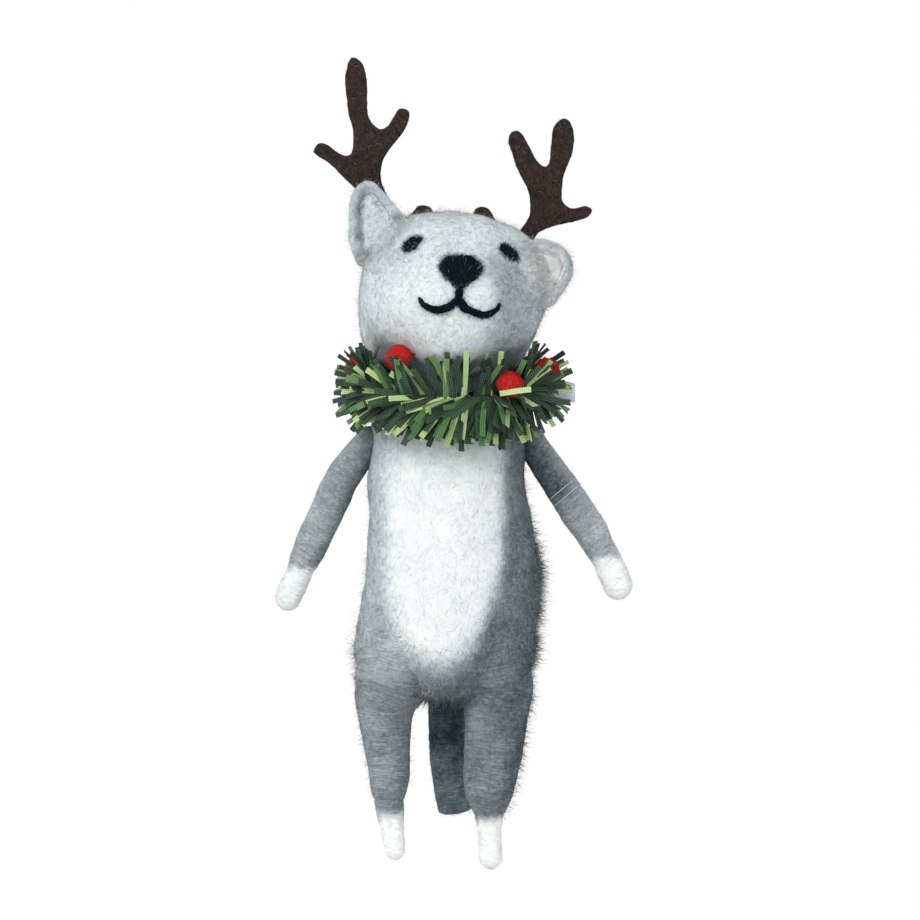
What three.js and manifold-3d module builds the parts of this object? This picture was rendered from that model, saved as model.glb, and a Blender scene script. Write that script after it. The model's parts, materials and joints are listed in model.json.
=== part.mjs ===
// Needle-felted woodland animal ornament: wool on a bent wire frame, with sheet-felt antlers
// and an evergreen wreath round the neck.
// Millimetres, +Z up. The face looks along -Y and +X is the right-hand side seen from the front.
// The origin is the crown of the head, the point it hangs from.
import * as THREE from 'three';
import { mergeVertices } from 'three/addons/utils/BufferGeometryUtils.js';
import Module from 'manifold-3d';

const wasm = await Module();
wasm.setup();
const degrees = THREE.MathUtils.degToRad;

// Clearances
const gap = 0.3; // between pieces that touch or turn in each other
const overrun = 3; // how far a cutter passes the face it cuts

// Head
const headWidth = 44.4;
const headHeight = 37;
const headDepth = 38;
const headSquareness = 2.5; // power of the rounded-box oval, 2 is an ellipsoid
const headPitch = degrees(22); // nose up
const headRoll = degrees(6.5); // its right-hand side down
const snoutLength = 4.5; // how far the muzzle stands out of the oval
const snoutSpread = degrees(34);
const snoutDroop = degrees(28);
const headSides = 24;
const headRows = 14;

// Eyes, nose and mouth, laid on the face as thin felted caps
const eyeLength = 5.6;
const eyeWidth = 2.8;
const eyeThickness = 0.9;
const eyes = {
  left: { across: -9.9, drop: 7.5, slant: degrees(35) },
  right: { across: 12.5, drop: 9.5, slant: degrees(-42) },
};
const noseWidth = 10.3;
const noseHeight = 7.8;
const noseThickness = 1.8;
const noseAcross = 1.6;
const noseDrop = 13.8;
const noseShares = [
  [-0.34, 0.42], [-0.02, 0.46], [0.3, 0.39], [0.5, 0.12], [0.41, -0.15],
  [0.14, -0.48], [-0.02, -0.54], [-0.18, -0.45], [-0.45, -0.09], [-0.5, 0.18],
];
const mouthWidth = 19;
const mouthLineWidth = 1.8;
const mouthThickness = 0.8;
const mouthAcross = 0.8;
const mouthDrop = 21.3;
const mouthSmileShares = [
  [-0.48, 0.105], [-0.44, 0.025], [-0.31, -0.065], [-0.14, -0.075], [0, 0],
  [0.12, -0.085], [0.285, -0.125], [0.44, -0.075], [0.52, 0.02],
];
const mouthStemShares = [[0, 0], [0.02, 0.11]];

// Ears: cupped leaves of felt with a paler lining in front
const earThickness = 2.6;
const earCup = 2.2;
const liningThickness = 1;
const liningWidthShare = 0.66;
const liningLengthShare = 0.86;
const ears = {
  left: { foot: [-16.4, -10, -8.7], tip: [-20.8, -4, 7.2], halfWidth: 7.6 },
  right: { foot: [17.1, -9, -14.7], tip: [27.6, -3, -11.9], halfWidth: 8.2 },
};
const earSides = 12;
const earRows = 7;

// Antlers: one flat felt sheet each, rooted in a slit, with a short brow tine behind the crown
const antlerThickness = 2.5;
const antlerBack = 5; // how far the sheets stand behind the crown
const antlers = {
  left: {
    height: 36.5, across: -14.7, drop: 0,
    outlineShares: [
      [-0.05, -0.1], [-0.17, 0.05], [-0.23, 0.15], [-0.29, 0.21], [-0.39, 0.31], [-0.49, 0.38],
      [-0.5, 0.41], [-0.47, 0.45], [-0.42, 0.44], [-0.35, 0.39], [-0.3, 0.37], [-0.26, 0.39],
      [-0.25, 0.52], [-0.28, 0.65], [-0.3, 0.81], [-0.3, 0.88], [-0.28, 0.97], [-0.25, 1],
      [-0.2, 0.97], [-0.17, 0.9], [-0.16, 0.79], [-0.16, 0.65], [-0.13, 0.58], [-0.08, 0.54],
      [-0.03, 0.56], [0.01, 0.62], [0.05, 0.67], [0.1, 0.66], [0.11, 0.62], [0.08, 0.54],
      [0.03, 0.47], [-0.04, 0.38], [-0.07, 0.3], [-0.07, 0.21], [-0.03, 0.1], [0.02, 0.03],
      [0.08, 0], [0.14, 0.03], [0.2, 0.05], [0.25, 0.045], [0.27, 0.01], [0.24, -0.03],
      [0.15, -0.06], [0.05, -0.11],
    ],
  },
  right: {
    height: 28.5, across: 16.8, drop: 6.3,
    outlineShares: [
      [-0.12, 0.02], [-0.04, 0.1], [0.02, 0.19], [0.03, 0.3], [0.01, 0.42], [-0.06, 0.55],
      [-0.11, 0.69], [-0.15, 0.8], [-0.14, 0.87], [-0.09, 0.9], [-0.04, 0.87], [0.02, 0.77],
      [0.07, 0.67], [0.13, 0.61], [0.17, 0.61], [0.19, 0.66], [0.2, 0.77], [0.22, 0.92],
      [0.26, 0.98], [0.31, 1], [0.36, 0.97], [0.39, 0.85], [0.37, 0.7], [0.31, 0.55],
      [0.29, 0.42], [0.29, 0.34], [0.31, 0.295], [0.38, 0.26], [0.48, 0.28], [0.53, 0.26],
      [0.54, 0.24], [0.5, 0.19], [0.38, 0.15], [0.23, 0.115], [0.11, 0.07], [0.06, 0],
      [0.04, -0.1], [-0.11, -0.13], [-0.24, -0.07], [-0.35, 0.05], [-0.43, 0.16], [-0.43, 0.24],
      [-0.38, 0.275], [-0.31, 0.25], [-0.25, 0.15], [-0.19, 0.05],
    ],
  },
};

// Wreath: a wire ring, backing wound round it in four arcs, and square-cut strips standing out
const wreathBelowChin = 1.53; // its centre, below the chin
const wreathRadius = 18;
const wreathTilt = degrees(11); // front down
const backingRadius = 1.6;
const garlandWireRadius = 0.5;
const garlandWireGap = degrees(8); // at the back, where its ends meet
const backingSides = 8;
const backingSteps = 18; // in each arc
const boreSides = 6;
const stripShortest = 1.2; // one that would be shorter is left off
const stripHalfWidth = 0.45;
const stripHalfThickness = 0.28;
const stripClearance = 0.45;
const stripLeanShare = 0.55; // sideways travel for each unit outward
const stripLongest = 8.8; // at the sides; the front ones are longer by their front share
const stripRows = [
  { facet: 6, heading: degrees(-52), lengthShare: 0.68, frontShare: 0.48 },
  { facet: 7, heading: degrees(-27), lengthShare: 0.91, frontShare: 0.25 },
  { facet: 0, heading: degrees(4), lengthShare: 1, frontShare: 0.14 },
  { facet: 1, heading: degrees(36), lengthShare: 1, frontShare: 0.18 },
  { facet: 2, heading: degrees(62), lengthShare: 0.91, frontShare: 0.3 },
];
const garlandArcs = [
  { name: 'garland_front', middle: degrees(0) },
  { name: 'garland_right', middle: degrees(90) },
  { name: 'garland_back', middle: degrees(180) },
  { name: 'garland_left', middle: degrees(-90) },
];

// Berries: felt balls seated in the strips, each placed from the wreath's core
const berryRadius = 3.15;
const berries = [
  { around: degrees(-37), outward: 3.5, up: 9.6 },
  { around: degrees(36), outward: 3.7, up: 3.5 },
  { around: degrees(84), outward: 3.6, up: 3.6 },
  { around: degrees(-85), outward: 4.6, up: 4.1 },
  { around: degrees(146), outward: 4.2, up: 3 },
  { around: degrees(-151), outward: 4.1, up: 4.1 },
];

// Blank satin tab tucked in the wreath
const tabAround = degrees(101);
const tabReach = 10.6;
const tabHeight = 4.4;
const tabThickness = 0.5;

// Torso, with the neck
const torsoLength = 72.5; // from the wreath's seat to the seat of the trousers
const torsoHalfWidth = 21.2;
const torsoHalfDepth = 15;
const neckRadius = 10.5;
const neckInset = 5; // into the head
const neckRounding = 1.2;
const neckFlare = 2.2;
const torsoShares = [ // down, sideways shift, half width, half depth
  [0.041, -0.047, 0.825, 0.87], [0.128, -0.07, 0.845, 0.9], [0.276, -0.09, 0.86, 0.92],
  [0.403, -0.057, 0.894, 0.93], [0.525, -0.033, 0.94, 0.95], [0.62, -0.03, 0.97, 0.98],
  [0.774, -0.09, 0.993, 1], [0.848, -0.104, 1, 0.99], [0.903, -0.108, 0.925, 0.92],
  [0.952, -0.108, 0.755, 0.76], [0.986, -0.108, 0.47, 0.47], [1, -0.108, 0, 0],
];
const seatDepthShare = 0.85;
const torsoSides = 20;

// Belly patch: white wool laid over the front of the torso
const bellyThickness = 1.1;
const bellyWidth = 27.3;
const bellyHeight = 60;
const bellyAcross = -2.4;
const bellyBelowSeat = 5.3; // its hidden top edge, below the wreath's seat on the shoulders
const bellyShares = [ // across, down
  [-0.3, 0], [-0.44, 0.03], [-0.5, 0.12], [-0.5, 0.4], [-0.5, 0.62], [-0.46, 0.76],
  [-0.36, 0.88], [-0.18, 0.97], [0, 1], [0.14, 0.97], [0.27, 0.88], [0.38, 0.76],
  [0.48, 0.6], [0.5, 0.4], [0.5, 0.12], [0.44, 0.03], [0.3, 0],
];

// Arms: wound wool on a wire, a ball at the shoulder and a white paw pegged into the wrist
const shoulderClearance = 3.9; // from the lowest strips at the sides to the top of the shoulder
const shoulderRadius = 4.2;
const armLength = 33;
const armRadius = 3.65;
const armLow = degrees(-6);
const arms = {
  left: {
    side: -1, proud: 0.8, raise: degrees(40), pawRadius: 3.05, pawLength: 10.6,
    spineShares: [[0, 0], [0.09, 0.12], [0.195, 0.277], [0.34, 0.59], [0.475, 0.88]],
    pawShares: [0.13, 0.32],
    radiusShares: [1, 1.03, 1.02, 1, 0.98, 0.97, 0.95, 0.92, 0.86],
  },
  right: {
    side: 1, proud: 1.85, raise: degrees(30), pawRadius: 3.4, pawLength: 9.6,
    spineShares: [[0, 0], [0.134, 0.149], [0.26, 0.37], [0.4, 0.61], [0.515, 0.83]],
    pawShares: [0.125, 0.28],
    radiusShares: [1, 1.06, 1.11, 1.07, 1.03, 0.99, 0.96, 0.9, 0.84],
  },
};
const pawPegRadius = 1.9;
const pawPegLength = 2.4;

// Two turns of fine thread round the right arm
const threadRadius = 0.25;
const threadPitch = 1.9;
const threadTurns = 2;
const threadSteps = 24;
const threadSides = 6;
const threadPlaceShare = 0.4;

// Legs: tapering wound wool, a ball at the hip and a foot pegged into the ankle
const hipRise = 4; // hip centre above the lowest point of the torso
const legForward = degrees(-40);
const legBack = degrees(12);
const legs = {
  left: {
    side: -1, spread: 12.6, ball: 8.4, length: 27.8, footRadius: 2.9, footLength: 13.6,
    spineShares: [[0, 0], [0.05, 0.22], [0.034, 0.54], [0.02, 0.73], [0.018, 1]],
    footShares: [-0.06, 0.48],
    radiusShares: [0.8, 0.85, 0.8, 0.72, 0.66, 0.61, 0.58, 0.5, 0.41],
  },
  right: {
    side: 1, spread: 12.25, ball: 8.1, length: 31.6, footRadius: 3, footLength: 11.9,
    spineShares: [[0, 0], [-0.016, 0.24], [-0.038, 0.47], [-0.066, 0.7], [-0.06, 1]],
    footShares: [0.02, 0.38],
    radiusShares: [0.84, 0.92, 0.91, 0.88, 0.83, 0.78, 0.7, 0.52, 0.42],
  },
};
const footPegRadius = 1.8;
const footPegLength = 2.4;

// Tail: hangs behind the legs from a ball in the small of the back
const tailLength = 36.9;
const tailRadius = 4.45;
const tailBall = 4.7;
const tailRise = 10; // its ball above the lowest point of the torso
const tailInset = 4.6; // its ball inside the torso's deepest back
const tailRaise = degrees(70);
const tailSpineShares = [ // across, back, down
  [0, 0, 0], [0.012, 0.1, 0.25], [0.022, 0.12, 0.6], [0.034, 0.1, 1],
];
const tailRadiusShares = [0.95, 0.99, 1, 1, 1, 1, 1, 0.97, 0.72];

// Wire frame
const wireRadius = 0.6;
const spineWireBack = 3; // behind the middle
const spineWireTopReach = 6; // into the head, above the neck
const spineWireBottomRise = 12;
const wireSides = 6;

const limbSides = 10;
const limbStationShares = [0, 0.12, 0.25, 0.4, 0.55, 0.7, 0.84, 0.95, 1];

// Colours and finishes
const wool = (color) => new THREE.MeshStandardMaterial({ color, roughness: 0.95, metalness: 0 });
const greyWool = wool(0x84888c);
const paleWool = wool(0xc9cbca);
const whiteWool = wool(0xf0efeb);
const liningWool = wool(0xdcdcda);
const blackWool = wool(0x15181f);
const brownFelt = wool(0x3c2d29);
const redFelt = wool(0xc3151a);
const greenStrip = new THREE.MeshStandardMaterial({ color: 0x3c5c35, roughness: 0.6, metalness: 0 });
const satin = new THREE.MeshStandardMaterial({ color: 0xdfe6f0, roughness: 0.4, metalness: 0 });
const whiteThread = wool(0xe6e6e4);
const steelWire = new THREE.MeshStandardMaterial({ color: 0x9a9a9c, roughness: 0.4, metalness: 1 });

// Geometry from position triples and triangles, its faces turned outward
function closedGeometry(points, triangles) {
  let volume = 0;
  for (const [a, b, c] of triangles) {
    volume += points[a].dot(new THREE.Vector3().crossVectors(points[b], points[c]));
  }
  const turned = volume < 0 ? triangles.map(([a, b, c]) => [a, c, b]) : triangles;
  const geometry = new THREE.BufferGeometry();
  const positions = points.flatMap((p) => [p.x, p.y, p.z]);
  geometry.setAttribute('position', new THREE.Float32BufferAttribute(positions, 3));
  geometry.setIndex(turned.flat());
  return geometry;
}

// Closed skin over a list of rings with equal counts; each end closes on its ring's mean point,
// and a ring given as one point is a pole.
function skin(rings) {
  const points = [];
  const triangles = [];
  const starts = rings.map((ring) => {
    const start = points.length;
    points.push(...ring);
    return start;
  });
  for (let row = 1; row < rings.length; row += 1) {
    const [low, high] = [rings[row - 1], rings[row]];
    const [a, b] = [starts[row - 1], starts[row]];
    const count = Math.max(low.length, high.length);
    for (let i = 0; i < count; i += 1) {
      const next = (i + 1) % count;
      if (low.length > 1) triangles.push([a + i, a + next, b + (high.length > 1 ? next : 0)]);
      if (high.length > 1) triangles.push([a + (low.length > 1 ? i : 0), b + next, b + i]);
    }
  }
  const close = (ring, start, flip) => {
    if (ring.length === 1) return;
    const middle = ring.reduce((sum, p) => sum.add(p), new THREE.Vector3()).divideScalar(ring.length);
    points.push(middle);
    const hub = points.length - 1;
    ring.forEach((_, i) => {
      const next = (i + 1) % ring.length;
      triangles.push(flip ? [hub, start + next, start + i] : [hub, start + i, start + next]);
    });
  };
  close(rings[0], starts[0], true);
  close(rings.at(-1), starts.at(-1), false);
  return closedGeometry(points, triangles);
}

// Round tube through points with a radius at each, its rings squared up to one reference direction
function tube(points, radii, sides, reference) {
  const rings = points.map((point, i) => {
    const before = points[Math.max(i - 1, 0)];
    const after = points[Math.min(i + 1, points.length - 1)];
    const along = after.clone().sub(before).normalize();
    const out = new THREE.Vector3().crossVectors(reference, along).normalize();
    const over = new THREE.Vector3().crossVectors(along, out);
    return Array.from({ length: sides }, (_, k) => {
      const angle = (2 * Math.PI * k) / sides;
      return point.clone()
        .addScaledVector(out, radii[i] * Math.cos(angle))
        .addScaledVector(over, radii[i] * Math.sin(angle));
    });
  });
  return skin(rings);
}

function solid(geometry) {
  const bare = geometry.clone();
  bare.deleteAttribute('normal');
  bare.deleteAttribute('uv');
  const merged = mergeVertices(bare);
  return new wasm.Manifold(new wasm.Mesh({
    numProp: 3,
    vertProperties: new Float32Array(merged.attributes.position.array),
    triVerts: new Uint32Array(merged.index.array),
  }));
}

function geometryOf(body) {
  const mesh = body.getMesh();
  const geometry = new THREE.BufferGeometry();
  const positions = [];
  for (let i = 0; i < mesh.vertProperties.length; i += mesh.numProp) {
    positions.push(...mesh.vertProperties.slice(i, i + 3));
  }
  geometry.setAttribute('position', new THREE.Float32BufferAttribute(positions, 3));
  geometry.setIndex([...mesh.triVerts]);
  return geometry;
}

const moved = (geometry, matrix) => geometry.clone().applyMatrix4(matrix);
const shifted = (geometry, place) => geometry.clone().translate(place.x, place.y, place.z);
const turnedAt = (geometry, place, axis, angle) => moved(
  geometry,
  new THREE.Matrix4().makeTranslation(place).multiply(new THREE.Matrix4().makeRotationAxis(axis, angle)),
);
const acrossAxis = new THREE.Vector3(1, 0, 0);
const depthAxis = new THREE.Vector3(0, 1, 0);

// A shape drawn on the front view, x across and y up, made a prism from its back plane forward
function frontPrism(shape, backY, thickness) {
  const options = { depth: thickness, bevelEnabled: false, curveSegments: 10 };
  return new THREE.ExtrudeGeometry(shape, options).rotateX(Math.PI / 2).translate(0, backY, 0);
}

const outlineShape = (points) => new THREE.Shape(points.map(([x, y]) => new THREE.Vector2(x, y)));

// Outline of a line of one width through a few points, with round ends
function strokeShape(points, width) {
  const line = new THREE.SplineCurve(points.map(([x, y]) => new THREE.Vector2(x, y)));
  const samples = line.getPoints(3 * (points.length - 1));
  const steps = 4;
  const edge = (list) => list.map((point, i) => {
    const before = list[Math.max(i - 1, 0)];
    const after = list[Math.min(i + 1, list.length - 1)];
    const along = after.clone().sub(before).normalize();
    return point.clone().add(new THREE.Vector2(along.y, -along.x).multiplyScalar(width / 2));
  });
  const cap = (end, before) => {
    const start = Math.atan2(end.y - before.y, end.x - before.x) - Math.PI / 2;
    return Array.from({ length: steps - 1 }, (_, k) => {
      const angle = start + (Math.PI * (k + 1)) / steps;
      const spoke = new THREE.Vector2(Math.cos(angle), Math.sin(angle));
      return end.clone().add(spoke.multiplyScalar(width / 2));
    });
  };
  const back = [...samples].reverse();
  return new THREE.Shape([
    ...edge(samples), ...cap(samples.at(-1), samples.at(-2)),
    ...edge(back), ...cap(back.at(-1), back.at(-2)),
  ]);
}

// The same outline moved outward by a distance along its mean edge normals
function grownOutline(points, distance) {
  const vectors = points.map(([x, y]) => new THREE.Vector2(x, y));
  const sense = THREE.ShapeUtils.isClockWise(vectors) ? -1 : 1;
  return vectors.map((point, i) => {
    const before = vectors[(i + vectors.length - 1) % vectors.length];
    const after = vectors[(i + 1) % vectors.length];
    const along = after.clone().sub(before).normalize();
    return [point.x + sense * along.y * distance, point.y - sense * along.x * distance];
  });
}

// Head surface: a rounded oval with a muzzle hump, as a distance from its centre along a direction
const headTurn = new THREE.Matrix4().makeRotationY(headRoll)
  .multiply(new THREE.Matrix4().makeRotationX(-headPitch));
const headUnturn = headTurn.clone().invert();
const snoutDirection = new THREE.Vector3(0, -Math.cos(snoutDroop), -Math.sin(snoutDroop));

function headReach(direction) {
  const local = direction.clone().applyMatrix4(headUnturn);
  const power = headSquareness;
  const x = Math.abs(local.x / (headWidth / 2)) ** power;
  const y = Math.abs(local.y / (headDepth / 2)) ** power;
  const z = Math.abs(local.z / (headHeight / 2)) ** power;
  const fromSnout = local.angleTo(snoutDirection) / snoutSpread;
  return (x + y + z) ** (-1 / power) + snoutLength * Math.exp(-fromSnout * fromSnout);
}

const headCentre = new THREE.Vector3(0, 0, -headReach(new THREE.Vector3(0, 0, 1)));
const chinZ = headCentre.z - headReach(new THREE.Vector3(0, 0, -1));

function headSkin(offset) {
  const at = (direction) => headCentre.clone()
    .addScaledVector(direction, headReach(direction) + offset);
  const rings = [[at(new THREE.Vector3(0, 0, -1))]];
  for (let row = 1; row < headRows; row += 1) {
    const polar = Math.PI * (1 - row / headRows);
    rings.push(Array.from({ length: headSides }, (_, i) => {
      const angle = (2 * Math.PI * i) / headSides;
      return at(new THREE.Vector3().setFromSphericalCoords(1, polar, angle).applyAxisAngle(
        acrossAxis,
        Math.PI / 2,
      ));
    }));
  }
  rings.push([at(new THREE.Vector3(0, 0, 1))]);
  return skin(rings);
}

// Torso surface: ovals down its length, from the neck inside the head to the seat
const wreathCentre = new THREE.Vector3(0, 0, chinZ - wreathBelowChin);
const seatReach = (backingRadius + gap) * Math.SQRT1_2;
const seatZ = wreathCentre.z - seatReach;
const seatHalfWidth = wreathRadius - seatReach;
const torsoBottomZ = seatZ - torsoLength;
const neckTopZ = chinZ + neckInset;

function torsoStations() {
  const neck = [
    { z: neckTopZ, x: 0, halfWidth: neckRadius - neckRounding, halfDepth: neckRadius - neckRounding },
    { z: neckTopZ - neckRounding, x: 0, halfWidth: neckRadius, halfDepth: neckRadius },
    { z: seatZ + neckFlare, x: 0, halfWidth: neckRadius, halfDepth: neckRadius },
    { z: seatZ, x: 0, halfWidth: seatHalfWidth, halfDepth: torsoHalfDepth * seatDepthShare },
  ];
  const body = torsoShares.map(([down, shift, width, depth]) => ({
    z: seatZ - torsoLength * down,
    x: torsoHalfWidth * shift,
    halfWidth: torsoHalfWidth * width,
    halfDepth: torsoHalfDepth * depth,
  }));
  return [...neck, ...body];
}

function torsoSkin(offset) {
  const stations = torsoStations();
  const rings = stations.map(({ z, x, halfWidth, halfDepth }, i) => {
    const end = i === 0 ? offset : 0;
    if (halfWidth === 0) return [new THREE.Vector3(x, 0, z - offset)];
    return Array.from({ length: torsoSides }, (_, k) => {
      const angle = (2 * Math.PI * k) / torsoSides;
      return new THREE.Vector3(
        x + (halfWidth + offset) * Math.cos(angle),
        (halfDepth + offset) * Math.sin(angle),
        z + end,
      );
    });
  });
  return skin(rings);
}

// Sideways edge of the torso at a height, on one side
function torsoEdge(z, side) {
  const stations = torsoStations();
  const below = stations.findIndex((station) => station.z <= z);
  const [high, low] = [stations[below - 1], stations[below]];
  const mix = (high.z - z) / (high.z - low.z);
  const x = THREE.MathUtils.lerp(high.x, low.x, mix);
  return x + side * THREE.MathUtils.lerp(high.halfWidth, low.halfWidth, mix);
}

// Limb along a curve in its own frame, the joint at the origin, with an optional skin offset
function limbCurve(spine) {
  return new THREE.CatmullRomCurve3(spine);
}

function limbTube(curve, radii, offset, reference) {
  const points = limbStationShares.map((share) => curve.getPointAt(share));
  return tube(points, radii.map((radius) => radius + offset), limbSides, reference);
}

const limbBall = (radius) => new THREE.SphereGeometry(radius, 14, 9);

function rod(from, to, radius, reference) {
  return tube([from, to], [radius, radius], wireSides, reference);
}

// Round-ended bulb with a peg behind it, along a direction from a place
function peggedBulb(place, direction, length, radius, pegRadius, pegLength) {
  const profile = [
    [0, -pegLength], [pegRadius, -pegLength], [pegRadius, gap], [radius * 0.88, gap],
    [radius, length * 0.28], [radius, length * 0.52], [radius * 0.93, length * 0.7],
    [radius * 0.74, length * 0.86], [radius * 0.42, length * 0.965], [0, length],
  ].map(([x, y]) => new THREE.Vector2(x, y));
  const turn = new THREE.Quaternion().setFromUnitVectors(depthAxis, direction);
  const whole = new THREE.LatheGeometry(profile, limbSides).applyQuaternion(turn);
  return shifted(whole, place);
}

const group = new THREE.Group();

function add(parent, name, geometry, material) {
  const mesh = new THREE.Mesh(geometry, material);
  mesh.name = name;
  parent.add(mesh);
}

// Antler sheets and the slits they stand in
function antlerPoints({ height, across, drop, outlineShares }) {
  return outlineShares.map(([x, z]) => [across + height * x, height * z - drop]);
}

function antlerSheet(antler, offset) {
  const shape = outlineShape(grownOutline(antlerPoints(antler), offset));
  const thickness = antlerThickness + 2 * offset;
  return frontPrism(shape, antlerBack + thickness / 2, thickness);
}

// Ear leaf: lens-shaped rings from its foot to its tip, cupped toward the front
function earLeaf({ foot, tip, halfWidth }, thickness, widthShare, lengthShare, forward) {
  const start = new THREE.Vector3(...foot);
  const axis = new THREE.Vector3(...tip).sub(start);
  const across = new THREE.Vector3(axis.z, 0, -axis.x).normalize();
  const rings = [];
  for (let row = 0; row < earRows; row += 1) {
    const share = row / earRows;
    const width = halfWidth * widthShare * (1 - share ** 2.2) ** 0.62;
    rings.push(Array.from({ length: earSides }, (_, i) => {
      const angle = (2 * Math.PI * i) / earSides;
      const sideways = Math.cos(angle);
      const hollow = earCup * (1 - (sideways * widthShare) ** 2) * (1 - share);
      return start.clone()
        .addScaledVector(axis, share * lengthShare)
        .addScaledVector(across, width * sideways)
        .addScaledVector(depthAxis, hollow - forward + (thickness / 2) * Math.sin(angle));
    }));
  }
  rings.push([start.clone().addScaledVector(axis, lengthShare).addScaledVector(depthAxis, -forward)]);
  return skin(rings);
}

function buildHead() {
  const head = headSkin(0);
  const cutter = solid(headSkin(gap));
  const neck = solid(torsoSkin(gap));
  const wireTop = neckTopZ + spineWireTopReach + gap;
  const wireFoot = neckTopZ - overrun;
  const bore = rod(
    new THREE.Vector3(0, spineWireBack, wireFoot),
    new THREE.Vector3(0, spineWireBack, wireTop),
    wireRadius + gap,
    acrossAxis,
  );
  let body = solid(head).subtract(neck).subtract(solid(bore));
  for (const side of ['left', 'right']) {
    body = body.subtract(solid(antlerSheet(antlers[side], gap)));
    add(group, `antler_${side}`, antlerSheet(antlers[side], 0), brownFelt);
    const leaf = earLeaf(ears[side], earThickness, 1, 1, 0);
    add(group, `ear_${side}`, geometryOf(solid(leaf).subtract(cutter)), greyWool);
    const forward = (earThickness + liningThickness) / 2 + gap;
    const lining = earLeaf(ears[side], liningThickness, liningWidthShare, liningLengthShare, forward);
    add(group, `ear_lining_${side}`, geometryOf(solid(lining).subtract(cutter)), liningWool);
  }
  add(group, 'head', geometryOf(body), paleWool);
}

// A cap of felt over the face inside a front-view shape
function faceCap(shapes, thickness) {
  const prisms = shapes.map((shape) => solid(frontPrism(shape, 0, headDepth)));
  const prism = prisms.reduce((sum, next) => sum.add(next));
  const cap = prism.intersect(solid(headSkin(gap + thickness))).subtract(solid(headSkin(gap)));
  return geometryOf(cap);
}

function buildFace() {
  for (const side of ['left', 'right']) {
    const { across, drop, slant } = eyes[side];
    const shape = new THREE.Shape();
    shape.absellipse(across, -drop, eyeLength / 2, eyeWidth / 2, 0, 2 * Math.PI, false, slant);
    add(group, `eye_${side}`, faceCap([shape], eyeThickness), blackWool);
  }
  const nosePoints = noseShares.map(([x, z]) => [noseAcross + noseWidth * x, noseHeight * z - noseDrop]);
  add(group, 'nose', faceCap([outlineShape(nosePoints)], noseThickness), blackWool);
  const mouthPoints = (shares) => shares.map(([x, z]) => [
    mouthAcross + mouthWidth * x,
    mouthWidth * z - mouthDrop,
  ]);
  const strokes = [mouthSmileShares, mouthStemShares].map((shares) => (
    strokeShape(mouthPoints(shares), mouthLineWidth)
  ));
  add(group, 'mouth_line', faceCap(strokes, mouthThickness), blackWool);
}

// Where each limb turns
const lowestRow = stripRows[0];
const stripsBelow = (stripLongest * lowestRow.lengthShare * -Math.sin(lowestRow.heading))
  / Math.hypot(1, stripLeanShare);
const shoulderZ = wreathCentre.z - backingRadius - stripsBelow - shoulderClearance - shoulderRadius;
const hipZ = torsoBottomZ + hipRise;
const torsoFootX = torsoHalfWidth * torsoShares.at(-1)[1];
const shoulderAt = (arm) => new THREE.Vector3(
  torsoEdge(shoulderZ, arm.side) + arm.side * arm.proud,
  0,
  shoulderZ,
);
const hipAt = (leg) => new THREE.Vector3(torsoFootX + leg.side * leg.spread, 0, hipZ);
const tailAt = new THREE.Vector3(torsoFootX, torsoHalfDepth - tailInset, torsoBottomZ + tailRise);

const armCurve = (arm) => limbCurve(arm.spineShares.map(([out, down]) => (
  new THREE.Vector3(arm.side * out * armLength, 0, -down * armLength)
)));
const legCurve = (leg) => limbCurve(leg.spineShares.map(([out, down]) => (
  new THREE.Vector3(leg.side * out * leg.length, 0, -down * leg.length)
)));
const tailCurve = limbCurve(tailSpineShares.map(([across, back, down]) => (
  new THREE.Vector3(across * tailLength, back * tailLength, -down * tailLength)
)));
const armRadii = (arm) => arm.radiusShares.map((share) => share * armRadius);
const legRadii = (leg) => leg.radiusShares.map((share) => share * leg.ball);
const tailRadii = tailRadiusShares.map((share) => share * tailRadius);

// The body less a ball socket, and less the limb's path past the rim at a few angles
function socketed(body, place, curve, radii, ballRadius, axis, angles, reference) {
  return angles.reduce(
    (rest, angle) => rest.subtract(solid(turnedAt(limbTube(curve, radii, gap, reference), place, axis, angle))),
    body.subtract(solid(shifted(limbBall(ballRadius + gap), place))),
  );
}

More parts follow.
